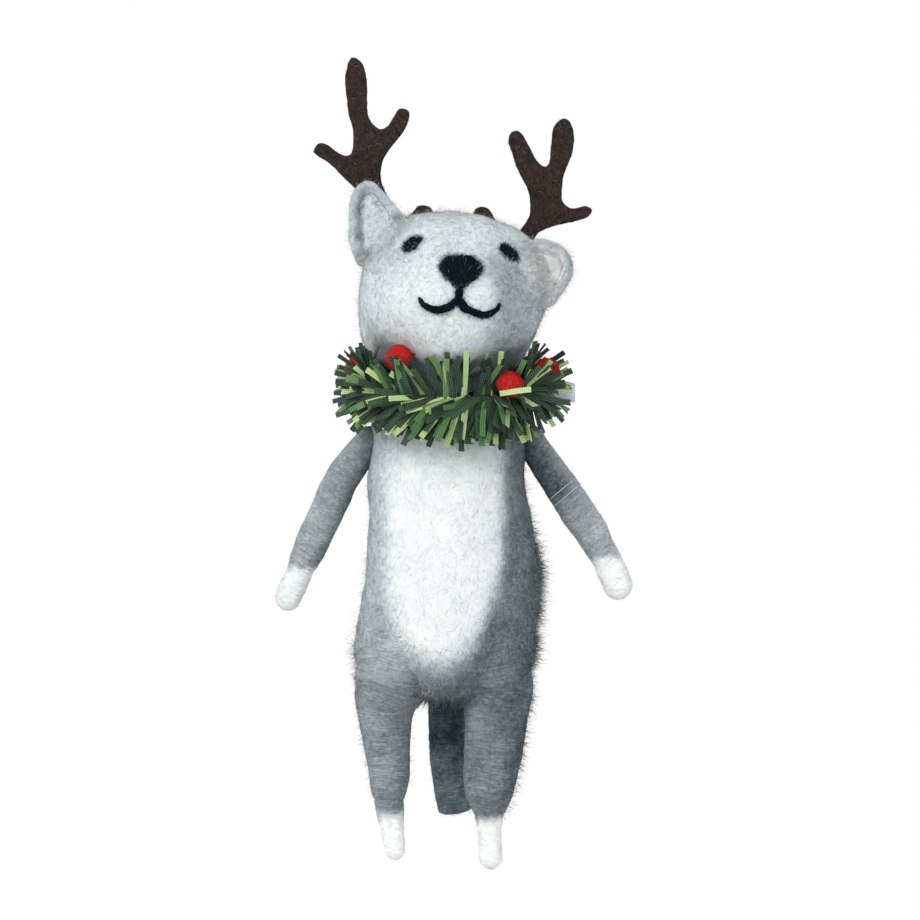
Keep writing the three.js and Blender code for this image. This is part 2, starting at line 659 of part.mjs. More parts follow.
function buildTorso() {
  let body = solid(torsoSkin(0));
  for (const side of ['left', 'right']) {
    const arm = arms[side];
    const leg = legs[side];
    body = socketed(
      body, shoulderAt(arm), armCurve(arm), armRadii(arm), shoulderRadius, depthAxis,
      [0, -arm.side * armLow], depthAxis,
    );
    body = socketed(
      body, hipAt(leg), legCurve(leg), legRadii(leg), leg.ball, acrossAxis,
      [0, legForward / 2, legForward, legBack], depthAxis,
    );
  }
  body = socketed(
    body, tailAt, tailCurve, tailRadii, tailBall, acrossAxis,
    [0, tailRaise / 4, tailRaise / 2, tailRaise], acrossAxis,
  );
  const spineTop = new THREE.Vector3(0, spineWireBack, neckTopZ + spineWireTopReach);
  const spineFoot = new THREE.Vector3(0, spineWireBack, torsoBottomZ + spineWireBottomRise);
  const ends = {
    shoulder: [shoulderAt(arms.left), shoulderAt(arms.right)],
    hip: [hipAt(legs.left), hipAt(legs.right)],
  };
  const shoulderInset = new THREE.Vector3(shoulderRadius + 2 * gap, 0, 0);
  const shoulderWire = [ends.shoulder[0].clone().add(shoulderInset), ends.shoulder[1].clone().sub(shoulderInset)];
  const bores = [
    rod(spineTop.clone().add(new THREE.Vector3(0, 0, overrun)), spineFoot, wireRadius + gap, acrossAxis),
    rod(ends.shoulder[0], ends.shoulder[1], wireRadius + gap, depthAxis),
    rod(ends.hip[0], ends.hip[1], wireRadius + gap, depthAxis),
  ];
  for (const bore of bores) body = body.subtract(solid(bore));
  add(group, 'torso', geometryOf(body), greyWool);
  const spineRest = spineFoot.clone().add(new THREE.Vector3(0, 0, gap));
  add(group, 'spine_wire', rod(spineTop, spineRest, wireRadius, acrossAxis), steelWire);
  add(group, 'shoulder_wire', rod(shoulderWire[0], shoulderWire[1], wireRadius, depthAxis), steelWire);
  add(group, 'hip_wire', rod(ends.hip[0], ends.hip[1], wireRadius, depthAxis), steelWire);
}

function buildBelly() {
  const points = bellyShares.map(([x, down]) => [
    bellyAcross + bellyWidth * x,
    seatZ - bellyBelowSeat - bellyHeight * down,
  ]);
  const prism = solid(frontPrism(outlineShape(points), 0, torsoHalfDepth + overrun));
  const patch = prism.intersect(solid(torsoSkin(gap + bellyThickness))).subtract(solid(torsoSkin(gap)));
  add(group, 'belly_patch', geometryOf(patch), whiteWool);
}

// One limb with its ball, end piece and wire, in a group at the joint
function buildLimb(names, place, curve, radii, ballRadius, reference, tip, wireFrom) {
  const limbGroup = new THREE.Group();
  limbGroup.position.copy(place);
  group.add(limbGroup);
  const wireStart = curve.getPointAt(0).addScaledVector(curve.getTangentAt(0), wireFrom);
  const first = Math.max(wireFrom, 0) / curve.getLength();
  const wristReach = tip ? 1 : 0.9;
  const wirePoints = (extend) => {
    const steps = 4;
    const points = Array.from({ length: steps }, (_, i) => (
      curve.getPointAt(THREE.MathUtils.lerp(first, wristReach, (i + 0.5) / steps))
    ));
    const last = tip ? tip.place.clone().addScaledVector(tip.direction, tip.length / 3 + extend)
      : curve.getPointAt(wristReach + extend / curve.getLength());
    return [wireStart.clone().addScaledVector(curve.getTangentAt(0), -extend), ...points, last];
  };
  const wire = (extend, radius) => {
    const points = wirePoints(extend);
    return tube(points, points.map(() => radius), wireSides, reference);
  };
  const bore = solid(wire(gap, wireRadius + gap));
  let body = solid(limbTube(curve, radii, 0, reference)).add(solid(limbBall(ballRadius))).subtract(bore);
  if (tip) {
    const { direction, length, radius, pegRadius, pegLength } = tip;
    const bulb = peggedBulb(tip.place, direction, length, radius, pegRadius, pegLength);
    const pegStart = tip.place.clone().addScaledVector(direction, -pegLength - gap);
    const pegEnd = tip.place.clone().addScaledVector(direction, overrun);
    body = body.subtract(solid(tube([pegStart, pegEnd], [pegRadius + gap, pegRadius + gap], limbSides, reference)));
    add(limbGroup, names.tip, geometryOf(solid(bulb).subtract(bore)), whiteWool);
  }
  for (const cut of names.cuts ?? []) body = body.subtract(solid(cut));
  add(limbGroup, names.limb, geometryOf(body), greyWool);
  add(limbGroup, names.wire, wire(0, wireRadius), steelWire);
  return limbGroup;
}

function tipOf(curve, shares, size, side, length, radius, pegRadius, pegLength) {
  return {
    place: curve.getPointAt(1),
    direction: new THREE.Vector3(side * shares[0] * size, 0, -shares[1] * size).normalize(),
    length,
    radius,
    pegRadius,
    pegLength,
  };
}

// Thread turns: a helix that follows the arm's spine just clear of its skin
function threadGeometry(arm) {
  const curve = armCurve(arm);
  const radii = armRadii(arm);
  const count = threadTurns * threadSteps;
  const length = curve.getLength();
  const radiusAt = (share) => {
    const upper = limbStationShares.findIndex((station) => station >= share);
    const [a, b] = [limbStationShares[upper - 1], limbStationShares[upper]];
    return THREE.MathUtils.lerp(radii[upper - 1], radii[upper], (share - a) / (b - a));
  };
  const points = Array.from({ length: count + 1 }, (_, i) => {
    const share = threadPlaceShare + ((i / threadSteps - threadTurns / 2) * threadPitch) / length;
    const angle = (2 * Math.PI * i) / threadSteps;
    const along = curve.getTangentAt(share);
    const out = new THREE.Vector3().crossVectors(depthAxis, along).normalize();
    const reach = radiusAt(share) + gap + threadRadius;
    return curve.getPointAt(share)
      .addScaledVector(out, reach * Math.cos(angle))
      .addScaledVector(depthAxis, reach * Math.sin(angle));
  });
  const straight = (from, to) => to.clone()
    .addScaledVector(to.clone().sub(from).normalize(), 2 * threadRadius);
  const path = [straight(points[1], points[0]), ...points, straight(points.at(-2), points.at(-1))];
  let nearest = Infinity;
  for (let i = 0; i < path.length; i += 1) {
    for (let j = i + threadSteps / 2; j < path.length; j += 1) {
      nearest = Math.min(nearest, path[i].distanceTo(path[j]));
    }
  }
  console.log(`thread: least gap to itself ${(nearest - 2 * threadRadius).toFixed(2)} mm`);
  const axis = curve.getTangentAt(threadPlaceShare);
  return tube(path, path.map(() => threadRadius), threadSides, axis);
}

function buildLimbs() {
  for (const side of ['left', 'right']) {
    const arm = arms[side];
    const curve = armCurve(arm);
    const tip = tipOf(
      curve, arm.pawShares, armLength, arm.side, arm.pawLength, arm.pawRadius, pawPegRadius, pawPegLength,
    );
    const names = { limb: `arm_${side}`, tip: `paw_${side}`, wire: `arm_wire_${side}` };
    const limbGroup = buildLimb(
      names, shoulderAt(arm), curve, armRadii(arm), shoulderRadius, depthAxis, tip, -shoulderRadius,
    );
    if (side === 'right') add(limbGroup, 'thread_wrap', threadGeometry(arm), whiteThread);
  }
  for (const side of ['left', 'right']) {
    const leg = legs[side];
    const curve = legCurve(leg);
    const tip = tipOf(
      curve, leg.footShares, leg.length, leg.side, leg.footLength, leg.footRadius, footPegRadius, footPegLength,
    );
    const inner = new THREE.Vector3(-leg.side * (leg.ball + overrun), 0, 0);
    const outer = new THREE.Vector3(leg.side * gap, 0, 0);
    const hipBore = rod(inner, outer, wireRadius + gap, depthAxis);
    const names = { limb: `leg_${side}`, tip: `foot_${side}`, wire: `leg_wire_${side}`, cuts: [hipBore] };
    buildLimb(names, hipAt(leg), curve, legRadii(leg), leg.ball, depthAxis, tip, wireRadius + gap + gap);
  }
  const names = { limb: 'tail', wire: 'tail_wire' };
  buildLimb(names, tailAt, tailCurve, tailRadii, tailBall, acrossAxis, null, -tailBall);
}

// Wreath frame: a place at an angle round the ring, zero at the front, out and up from its core
function wreathPlace(around, outward, up) {
  const reach = wreathRadius + outward;
  return new THREE.Vector3(reach * Math.sin(around), -reach * Math.cos(around), up);
}

const berryPlaces = berries.map(({ around, outward, up }) => wreathPlace(around, outward, up));

// True where a strip would come too near a berry or the tab
function stripBlocked(point) {
  const room = stripClearance + stripHalfThickness;
  if (berryPlaces.some((berry) => berry.distanceTo(point) < berryRadius + room)) return true;
  const local = point.clone().applyAxisAngle(new THREE.Vector3(0, 0, 1), -tabAround);
  const outward = -local.y - wreathRadius;
  return Math.abs(local.x) < tabThickness / 2 + room + stripHalfWidth
    && Math.abs(local.z) < tabHeight / 2 + room
    && outward < tabReach + room;
}

function stripLength(foot, heading, wanted) {
  const samples = 16;
  for (let i = 1; i <= samples; i += 1) {
    const reach = (wanted * i) / samples;
    if (stripBlocked(foot.clone().addScaledVector(heading, reach))) return (wanted * (i - 1)) / samples;
  }
  return wanted;
}

// One arc of backing with its bore, and a strip grown from each facet of the strip rows
function garlandGeometry(middle) {
  const half = Math.PI / 4 - gap / (2 * wreathRadius);
  const points = [];
  const triangles = [];
  const ringAt = (step, radius, sides) => {
    const around = middle - half + (2 * half * step) / backingSteps;
    return Array.from({ length: sides }, (_, k) => {
      const angle = (2 * Math.PI * (k - 0.5)) / sides;
      return wreathPlace(around, radius * Math.cos(angle), radius * Math.sin(angle));
    });
  };
  const outer = Array.from({ length: backingSteps + 1 }, (_, step) => ringAt(step, backingRadius, backingSides));
  const inner = Array.from({ length: backingSteps + 1 }, (_, step) => (
    ringAt(step, garlandWireRadius + gap, boreSides)
  ));
  points.push(...outer.flat());
  const innerStart = points.length;
  points.push(...inner.flat());
  const outerIndex = (step, k) => step * backingSides + ((k + backingSides) % backingSides);
  const innerIndex = (step, k) => innerStart + step * boreSides + ((k + boreSides) % boreSides);
  const quad = (a, b, c, d) => triangles.push([a, b, c], [a, c, d]);
  for (let step = 0; step < backingSteps; step += 1) {
    for (let k = 0; k < boreSides; k += 1) {
      quad(innerIndex(step, k), innerIndex(step, k + 1), innerIndex(step + 1, k + 1), innerIndex(step + 1, k));
    }
    for (let k = 0; k < backingSides; k += 1) {
      const corners = [outerIndex(step, k), outerIndex(step + 1, k), outerIndex(step + 1, k + 1), outerIndex(step, k + 1)];
      const row = stripRows.findIndex(({ facet }) => facet === k);
      const tip = row < 0 ? null : stripTip(corners.map((index) => points[index]), stripRows[row], row);
      if (!tip) {
        quad(...corners);
      } else {
        const first = points.length;
        points.push(...tip);
        for (let side = 0; side < 4; side += 1) {
          const next = (side + 1) % 4;
          quad(corners[side], corners[next], first + next, first + side);
        }
        quad(first, first + 1, first + 2, first + 3);
      }
    }
  }
  endCap(0, false);
  endCap(backingSteps, true);
  return closedGeometry(points, triangles);

  // Flat end between the backing's eight corners and the bore's six
  function endCap(step, flip) {
    let [a, b] = [0, 0];
    while (a < backingSides || b < boreSides) {
      const outerFirst = b >= boreSides || (a < backingSides && (a + 1) / backingSides <= (b + 1) / boreSides);
      const [here, bore] = [outerIndex(step, a), innerIndex(step, b)];
      const next = outerFirst ? outerIndex(step, a + 1) : innerIndex(step, b + 1);
      triangles.push(flip ? [here, bore, next] : [here, next, bore]);
      if (outerFirst) a += 1;
      else b += 1;
    }
  }
}

// Four tip corners of a strip that grows from four foot corners, or nothing where it has no room
function stripTip(foot, { heading, lengthShare, frontShare }, row) {
  const middle = foot.reduce((sum, p) => sum.add(p), new THREE.Vector3()).divideScalar(4);
  const around = Math.atan2(middle.x, -middle.y);
  const outward = new THREE.Vector3(Math.sin(around), -Math.cos(around), 0);
  const along = new THREE.Vector3(Math.cos(around), Math.sin(around), 0);
  const lean = row % 2 === 0 ? stripLeanShare : -stripLeanShare;
  const direction = outward.clone().multiplyScalar(Math.cos(heading))
    .add(new THREE.Vector3(0, 0, Math.sin(heading)))
    .addScaledVector(along, lean)
    .normalize();
  const wanted = stripLongest * (lengthShare + frontShare * Math.max(0, Math.cos(around)) ** 2);
  const reach = stripLength(middle, direction, wanted);
  if (reach < stripShortest) return null;
  const end = middle.clone().addScaledVector(direction, reach);
  const wide = along.clone().addScaledVector(direction, -along.dot(direction)).normalize();
  const thin = new THREE.Vector3().crossVectors(wide, direction).normalize();
  const thinSense = Math.sign(thin.dot(foot[2].clone().sub(foot[1])));
  return [[-1, -1], [1, -1], [1, 1], [-1, 1]].map(([w, t]) => end.clone()
    .addScaledVector(wide, w * stripHalfWidth)
    .addScaledVector(thin, t * thinSense * stripHalfThickness));
}

function buildWreath() {
  const wreath = new THREE.Group();
  wreath.position.copy(wreathCentre);
  wreath.rotation.x = wreathTilt;
  group.add(wreath);
  for (const { name, middle } of garlandArcs) add(wreath, name, garlandGeometry(middle), greenStrip);
  const steps = 36;
  const wirePoints = Array.from({ length: steps + 1 }, (_, i) => (
    wreathPlace(-Math.PI + garlandWireGap / 2 + ((2 * Math.PI - garlandWireGap) * i) / steps, 0, 0)
  ));
  const upAxis = new THREE.Vector3(0, 0, 1);
  const garlandWire = tube(wirePoints, wirePoints.map(() => garlandWireRadius), boreSides, upAxis);
  add(wreath, 'garland_wire', garlandWire, steelWire);
  berryPlaces.forEach((place, i) => {
    add(wreath, `berry_${i + 1}`, shifted(new THREE.SphereGeometry(berryRadius, 12, 8), place), redFelt);
  });
  const tabStart = backingRadius + gap;
  const tab = new THREE.BoxGeometry(tabThickness, tabReach - tabStart, tabHeight)
    .translate(0, -wreathRadius - (tabStart + tabReach) / 2, 0)
    .rotateZ(tabAround);
  add(wreath, 'neck_tab', tab, satin);
}

buildHead();
buildFace();
buildTorso();
buildBelly();
buildLimbs();
buildWreath();

export default group;
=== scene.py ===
"""A needle-felted woodland animal that hangs as an ornament: wool body, head and limbs, sheet-felt
antlers, a wreath of cut plastic strips with felt berries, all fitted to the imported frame."""
import json
import math

import bpy
import numpy as np
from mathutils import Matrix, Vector


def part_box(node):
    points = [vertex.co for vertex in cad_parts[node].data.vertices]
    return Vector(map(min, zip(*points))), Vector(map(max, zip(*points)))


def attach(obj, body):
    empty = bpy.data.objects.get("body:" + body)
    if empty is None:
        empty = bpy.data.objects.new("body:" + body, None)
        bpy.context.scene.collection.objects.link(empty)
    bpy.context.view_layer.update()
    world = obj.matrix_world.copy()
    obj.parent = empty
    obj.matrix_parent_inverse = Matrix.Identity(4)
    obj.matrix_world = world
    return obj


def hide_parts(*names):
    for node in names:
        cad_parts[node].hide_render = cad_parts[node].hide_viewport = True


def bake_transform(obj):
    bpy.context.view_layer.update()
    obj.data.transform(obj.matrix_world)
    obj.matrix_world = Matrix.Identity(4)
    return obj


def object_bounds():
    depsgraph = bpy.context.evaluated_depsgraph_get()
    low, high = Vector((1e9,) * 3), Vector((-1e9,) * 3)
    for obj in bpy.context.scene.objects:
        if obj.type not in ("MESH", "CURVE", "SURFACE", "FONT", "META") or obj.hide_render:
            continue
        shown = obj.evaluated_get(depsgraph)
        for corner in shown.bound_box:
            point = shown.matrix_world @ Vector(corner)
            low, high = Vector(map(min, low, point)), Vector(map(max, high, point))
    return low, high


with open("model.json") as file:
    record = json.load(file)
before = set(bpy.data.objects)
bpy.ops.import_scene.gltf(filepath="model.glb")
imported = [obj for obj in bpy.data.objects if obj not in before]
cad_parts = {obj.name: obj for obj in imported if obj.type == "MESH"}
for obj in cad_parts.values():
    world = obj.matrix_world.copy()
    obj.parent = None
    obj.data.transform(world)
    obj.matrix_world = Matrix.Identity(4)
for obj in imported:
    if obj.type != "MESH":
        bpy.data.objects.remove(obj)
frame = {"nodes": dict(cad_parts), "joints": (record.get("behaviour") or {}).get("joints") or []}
cad_low, cad_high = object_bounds()

MM = 0.001
TURN = 2 * math.pi
CROSS = np.array([1.0, 0.0, 0.0])
DEPTH = np.array([0.0, 1.0, 0.0])
RISE = np.array([0.0, 0.0, 1.0])

# The camera stands level with the middle of the frame, straight in front
FRAME_WIDTH = 215.3 * MM
CAMERA_DISTANCE = 4.0
CAMERA_ACROSS = 1.2 * MM
CAMERA_HEIGHT = -57.8 * MM
CAMERA_SENSOR_WIDTH = 36
CAMERA_RANGE = (0.01, 10)

# Head: a rounded oval, nose up and its right-hand side down, with a muzzle ball in front
HEAD_SIZE = np.array([44.4, 38.0, 37.0]) * MM
HEAD_SQUARENESS = 2.5
HEAD_PITCH = math.radians(22)
HEAD_ROLL = math.radians(6.5)
SNOUT_LENGTH = 4.5 * MM
SNOUT_SPREAD = math.radians(34)
SNOUT_DROOP = math.radians(28)
MUZZLE_CENTRE = np.array([-0.7, -8.4, -24.4]) * MM
MUZZLE_RADIUS = 14.4 * MM
MUZZLE_CREASE = 0.9 * MM
FACE_DEPTH_GUESS = -18 * MM
FACE_DEPTH_TRIES = 25
FACE_BUMPS = [  # across, back, up and height in mm, spread in radians
    (-4.4, -19, -18.4, 1.5, 0.2), (7.2, -19, -19.6, 1.5, 0.2), (0.8, -19, -27.0, 0.6, 0.3),
    (-9.9, -19, -7.6, -0.5, 0.16), (12.5, -19, -9.6, -0.5, 0.16), (1.4, -19, -13.6, -0.4, 0.2),
    (-17, 2, -32, 1.8, 0.34), (19, 0, -28, -2.4, 0.34), (11, 2, 0, -0.9, 0.3),
]
# Paler wool: across, up, half width and half height in mm, outer and inner edge, added white
HEAD_PATCHES = [
    (-3, -25, 14.5, 13, 1.16, 0.84, 0.125), (-12, -15, 9, 8, 1.1, 0.5, 0.045),
    (-1, -6, 13, 9, 1.2, 0.4, 0.09), (20.5, -13.5, 5, 5.5, 1.3, 0.5, 0.38),
]
CHIN_EDGE = (-38 * MM, -34 * MM)

# Torso ovals: share of the length down, sideways shift, half width and half depth
TORSO_LENGTH = 72.5 * MM
TORSO_HALF_WIDTH = 21.2 * MM
TORSO_HALF_DEPTH = 15 * MM
HIP_FILLET = 4 * MM
TORSO_SHARES = np.array([
    [0.041, -0.047, 0.825, 0.87], [0.128, -0.07, 0.845, 0.9], [0.276, -0.09, 0.86, 0.92],
    [0.403, -0.057, 0.894, 0.93], [0.525, -0.033, 0.94, 0.95], [0.62, -0.03, 0.97, 0.98],
    [0.774, -0.09, 0.993, 1], [0.848, -0.104, 1, 0.99], [0.903, -0.108, 0.925, 0.92],
    [0.952, -0.108, 0.755, 0.76], [0.986, -0.108, 0.47, 0.47], [1, -0.108, 0, 0],
])
NECK_RADIUS = 10.5 * MM
NECK_INSET = 5 * MM
NECK_FOOT = 2.2 * MM
SEAT_DEPTH_SHARE = 0.85
WREATH_SEAT = 1.9 * MM * math.sqrt(0.5)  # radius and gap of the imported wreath's ring, at 45 degrees

# Belly patch outline: shares of its width across and of its height down
BELLY_SHARES = [
    [-0.3, 0], [-0.44, 0.03], [-0.5, 0.12], [-0.5, 0.4], [-0.5, 0.62], [-0.46, 0.76],
    [-0.36, 0.88], [-0.18, 0.97], [0, 1], [0.14, 0.97], [0.27, 0.88], [0.38, 0.76],
    [0.48, 0.6], [0.5, 0.4], [0.5, 0.12], [0.44, 0.03], [0.3, 0],
]
BELLY_THICKNESS = 1.1 * MM
BELLY_EDGE_DIP = 0.1 * MM
BELLY_BACK = 0.9 * MM
BELLY_HIDES_TORSO = 0.78

# Arms and legs: spine shares are out and down, in limb lengths from the joint
ARM_LENGTH = 33 * MM
ARM_RADIUS = 3.65 * MM
SHOULDER_RADIUS = 4.2 * MM
HIP_ROOT = np.array([3.4, 15]) * MM
HIP_DEEPER = 0.42
LIMB_INSIDE_BULB = 2.2 * MM
LIMB_RIDGES = 0.07 * MM
BULB_RIDGES = 0.05 * MM
# navy is how much painted shade darkens an arm's inner top, under the wreath and against the torso
ARMS = {
    "left": dict(
        side=-1, paw_radius=3.05 * MM, paw_length=10.6 * MM, paw_shares=(0.13, 0.32),
        spine_shares=[[0, 0], [0.09, 0.12], [0.195, 0.277], [0.34, 0.59], [0.475, 0.88]],
        radius_shares=[1, 1.04, 1.07, 1.09, 1.08, 1.06, 1.02, 0.95, 0.86], fade=(1.4 * MM, -1.2 * MM),
        grey=0.23, navy=0.09, white=0.83,
    ),
    "right": dict(
        side=1, paw_radius=3.4 * MM, paw_length=9.6 * MM, paw_shares=(0.115, 0.28),
        spine_shares=[[0, 0], [0.092, 0.149], [0.245, 0.365], [0.403, 0.61], [0.53, 0.83]],
        radius_shares=[0.98, 1.0, 1.05, 1.1, 1.13, 1.12, 1.02, 0.94, 0.88], fade=(2.4 * MM, -0.6 * MM),
        grey=0.35, navy=0.36, white=0.95,
    ),
}
LEGS = {
    "left": dict(
        side=-1, ball=8.4 * MM, hip_share=1.07, length=27.8 * MM, foot_radius=2.9 * MM,
        foot_length=13.6 * MM, grey=0.12, foot_shares=(-0.06, 0.48), fade=(-0.5 * MM, -6 * MM),
        foot_radius_shares=[1.18, 1.16, 1.09, 1.0, 0.88, 0.76, 0.66],
        spine_shares=[[0, 0], [0.05, 0.22], [0.034, 0.54], [0.02, 0.73], [0.018, 1]],
        radius_shares=[0.85, 0.96, 0.83, 0.74, 0.68, 0.63, 0.58, 0.49, 0.39],
    ),
    "right": dict(
        side=1, ball=8.1 * MM, hip_share=1.08, length=31.6 * MM, foot_radius=3 * MM,
        foot_length=11.9 * MM, grey=0.06, foot_shares=(0.02, 0.38), fade=(1.8 * MM, -2 * MM),
        foot_radius_shares=[1.1, 1.02, 0.96, 0.92, 0.9, 0.87, 0.83],
        spine_shares=[[0, 0], [-0.01, 0.24], [-0.028, 0.47], [-0.056, 0.7], [-0.064, 1]],
        radius_shares=[0.9, 1.01, 0.95, 0.91, 0.87, 0.8, 0.7, 0.51, 0.4],
    ),
}
# Shares of the way down a limb, paw or foot at which its radii are given
STATION_SHARES = [0, 0.12, 0.25, 0.4, 0.55, 0.7, 0.84, 0.95, 1]
PAW_STATIONS = [0, 0.28, 0.52, 0.7, 0.86, 1]
PAW_RADIUS_SHARES = [1, 1.03, 1.03, 1, 0.94, 0.87]
FOOT_STATIONS = [0, 0.12, 0.25, 0.4, 0.65, 0.9, 1]
THREAD_PITCH = 1.9 * MM
THREAD_RADIUS = 0.09 * MM

# Tail
TAIL_LENGTH = 36.9 * MM
TAIL_RADIUS = 4.45 * MM
TAIL_SPINE_SHARES = [  # across, back, down
    [0, 0, 0], [0.012, 0.1, 0.25], [0.022, 0.12, 0.6], [0.045, 0.11, 0.8], [0.08, 0.1, 1],
]
TAIL_RADIUS_SHARES = [0.95, 0.99, 1, 1, 1, 1, 1, 0.98, 0.9]

# Nose and mouth outlines, across and up, in shares of their widths and heights
NOSE_SHARES = [
    [-0.34, 0.42], [-0.02, 0.46], [0.3, 0.39], [0.5, 0.12], [0.41, -0.15],
    [0.14, -0.48], [-0.02, -0.54], [-0.18, -0.45], [-0.45, -0.09], [-0.5, 0.18],
]
NOSE_SIZE = np.array([10.3, 7.8]) * MM
NOSE_PLACE = np.array([1.6, -13.8]) * MM
NOSE_THICKNESS = 0.9 * MM
MOUTH_WIDTH = 19 * MM
MOUTH_PLACE = np.array([0.8, -21.3]) * MM
MOUTH_LINE = 1.85 * MM
SMILE_SHARES = [
    [-0.485, 0.085], [-0.42, -0.025], [-0.285, -0.08], [-0.13, -0.055], [-0.005, 0.025],
    [0.1, -0.07], [0.3, -0.145], [0.445, -0.1], [0.52, 0.005],
]
STEM_SHARES = [[-0.003, 0.01], [0.01, 0.11], [0.02, 0.22]]
MOUTH_LINES = {
    "smile": dict(shares=SMILE_SHARES, steps=110, thinned=0.4, fuzz=2200, replaces=["mouth_line"]),
    "stem": dict(shares=STEM_SHARES, steps=30, thinned=0, fuzz=500, replaces=[]),
}
EYE_SLANTS = {"left": math.radians(35), "right": math.radians(-42)}
EYE_LENGTH = 5.4 * MM
EYE_WIDTH = 3 * MM
EYE_THICKNESS = 0.5 * MM

# Ears: a cupped leaf with a thick rim, its foot in the head. outer and inner are its half widths in
# mm at shares of the way ahead from foot to tip. edges is how strong the rim is on each side, cup how
# deep the leaf is hollowed, sink how far its foot goes back and tuck how much farther its inner side
# does. Its white passes into the face's over join, and over inner_fade on its inner side.
# An ear's groove, inside its rim, is darker than the rim: painted shade in the groove.
EARS = {
    "left": dict(
        foot=(-16.4, -10, -8.7), tip=(-20.8, -4, 7.4), ahead=[-0.3, -0.1, 0.27, 0.6, 0.85, 1],
        outer=[3.4, 7.3, 7.4, 6.0, 5.0, 4.4], inner=[9, 8.4, 7.6, 4.9, 3.3, 2.6], edges=(1, 0.25),
        rim_white=0.47, shaded_groove_white=0.12, inside_white=0.62, join=(-0.1, 0.3), sink=6 * MM,
        cup=2.2 * MM, tuck=5 * MM, inner_fade=(0.22, 0.62),
    ),
    "right": dict(
        foot=(17.1, -9, -14.7), tip=(27.6, -3, -11.9), ahead=[-0.3, 0, 0.38, 0.68, 0.9, 1],
        outer=[7.6, 8.1, 7.9, 6.6, 5.2, 4.4], inner=[8, 8.6, 8.3, 5.6, 3.4, 2.6], edges=(1, 0.8),
        rim_white=0.6, shaded_groove_white=0.46, inside_white=1, join=(-0.25, 0.02), sink=2 * MM,
        cup=0.9 * MM, tuck=0, inner_fade=(-0.1, 0.2),
    ),
}
EAR_LAYERS = {
    "ear": dict(
        rows=76, columns=100, width_share=1, length_share=1, thickness=2.6 * MM, forward=0,
        off_face=0.2 * MM, slot="pale_wool", seed=201, combed_forward=0.3,
    ),
    "ear_lining": dict(
        rows=60, columns=80, width_share=0.62, length_share=0.82, thickness=0.7 * MM,
        forward=0.95 * MM, off_face=0.1 * MM, slot="lining_wool", seed=221, combed_forward=0.2,
    ),
}
EAR_ROOT_SHARE = -0.3
EAR_TIP_SHARE = 0.9995
EAR_RIM = 2.8 * MM
EAR_RIM_HEIGHT = 0.35 * MM
EAR_GROOVE_DEPTH = 0.25 * MM
EAR_FILLET = 4 * MM

# Antlers: outline shares of their height, each a flat sheet behind the crown
ANTLER_THICKNESS = 2.5 * MM
ANTLER_SQUARE = 0.3 * MM
ANTLER_SMOOTHING = 6
ANTLER_LINT = 900
ANTLERS = {
    "left": dict(
        height=36.5 * MM, across=-14.7 * MM, drop=0,
        outline_shares=[
            [-0.05, -0.1], [-0.17, 0.05], [-0.23, 0.15], [-0.29, 0.21], [-0.39, 0.31],
            [-0.49, 0.38], [-0.5, 0.41], [-0.47, 0.45], [-0.42, 0.44], [-0.35, 0.39],
            [-0.3, 0.37], [-0.26, 0.39], [-0.25, 0.52], [-0.28, 0.65], [-0.3, 0.81],
            [-0.3, 0.88], [-0.28, 0.97], [-0.25, 1], [-0.2, 0.97], [-0.17, 0.9],
            [-0.16, 0.79], [-0.16, 0.65], [-0.13, 0.58], [-0.08, 0.54], [-0.03, 0.56],
            [0.01, 0.62], [0.05, 0.67], [0.1, 0.66], [0.11, 0.62], [0.08, 0.54],
            [0.03, 0.47], [-0.04, 0.38], [-0.07, 0.3], [-0.07, 0.21], [-0.03, 0.1],
            [0.0, -0.01], [0.07, -0.04], [0.13, 0.0], [0.165, 0.045], [0.21, 0.05],
            [0.25, 0.03], [0.25, -0.03], [0.15, -0.08], [0.05, -0.11],
        ],
    ),
    "right": dict(
        height=28.5 * MM, across=16.8 * MM, drop=6.3 * MM,
        outline_shares=[
            [-0.12, 0.02], [-0.04, 0.1], [0.02, 0.19], [0.03, 0.3], [0.01, 0.42],
            [-0.06, 0.55], [-0.11, 0.69], [-0.15, 0.8], [-0.14, 0.87], [-0.09, 0.9],
            [-0.04, 0.87], [0.02, 0.77], [0.07, 0.67], [0.13, 0.61], [0.17, 0.61],
            [0.19, 0.66], [0.2, 0.77], [0.22, 0.92], [0.26, 0.98], [0.31, 1],
            [0.36, 0.97], [0.39, 0.85], [0.37, 0.7], [0.31, 0.55], [0.29, 0.42],
            [0.29, 0.34], [0.31, 0.295], [0.38, 0.26], [0.48, 0.28], [0.53, 0.26],
            [0.54, 0.24], [0.5, 0.19], [0.38, 0.15], [0.23, 0.115], [0.11, 0.07],
            [0.06, 0], [0.04, -0.1], [-0.11, -0.13], [-0.24, -0.07], [-0.35, 0.05],
            [-0.43, 0.16], [-0.43, 0.24], [-0.38, 0.275], [-0.31, 0.25], [-0.25, 0.15],
            [-0.19, 0.05],
        ],
    ),
}

# Wreath
WREATH_RADIUS = 18 * MM
CORE_RADIUS = 1.5 * MM
STRIP_WIDTH = 1.42 * MM
STRIP_THICKNESS = 0.14 * MM
STRIP_STEPS = 6
STRIP_LENGTH = 8.3 * MM
STRIP_LONGER_IN_FRONT = 2 * MM
STRIP_LENGTH_SPREAD = 1.1 * MM
STRIP_DROOP = 0.5 * MM
STRIP_LAYERS = (0.2, 1.9)  # mm out from the core's middle
STRIP_ROLL = 0.32
STRIP_MAP_SIDES = np.array([0, 0.42, 0.5, 0.92, 1])  # where its four sides meet in the bake map
STRIP_MAP_ENDS = (0.08, 0.92)
BEHIND_WREATH = 95  # degrees round
WOOL_CLEARANCE = 0.5 * MM
BERRY_CLEARANCE = 3.4 * MM
BERRY_COUNT = 6
BERRY_FUZZ = 520
SQUARE = [(-1, -1), (1, -1), (1, 1), (-1, 1)]
STRIP_ARCS = {"front": (0, 250), "right": (90, 170), "back": (180, 130), "left": (-90, 180)}
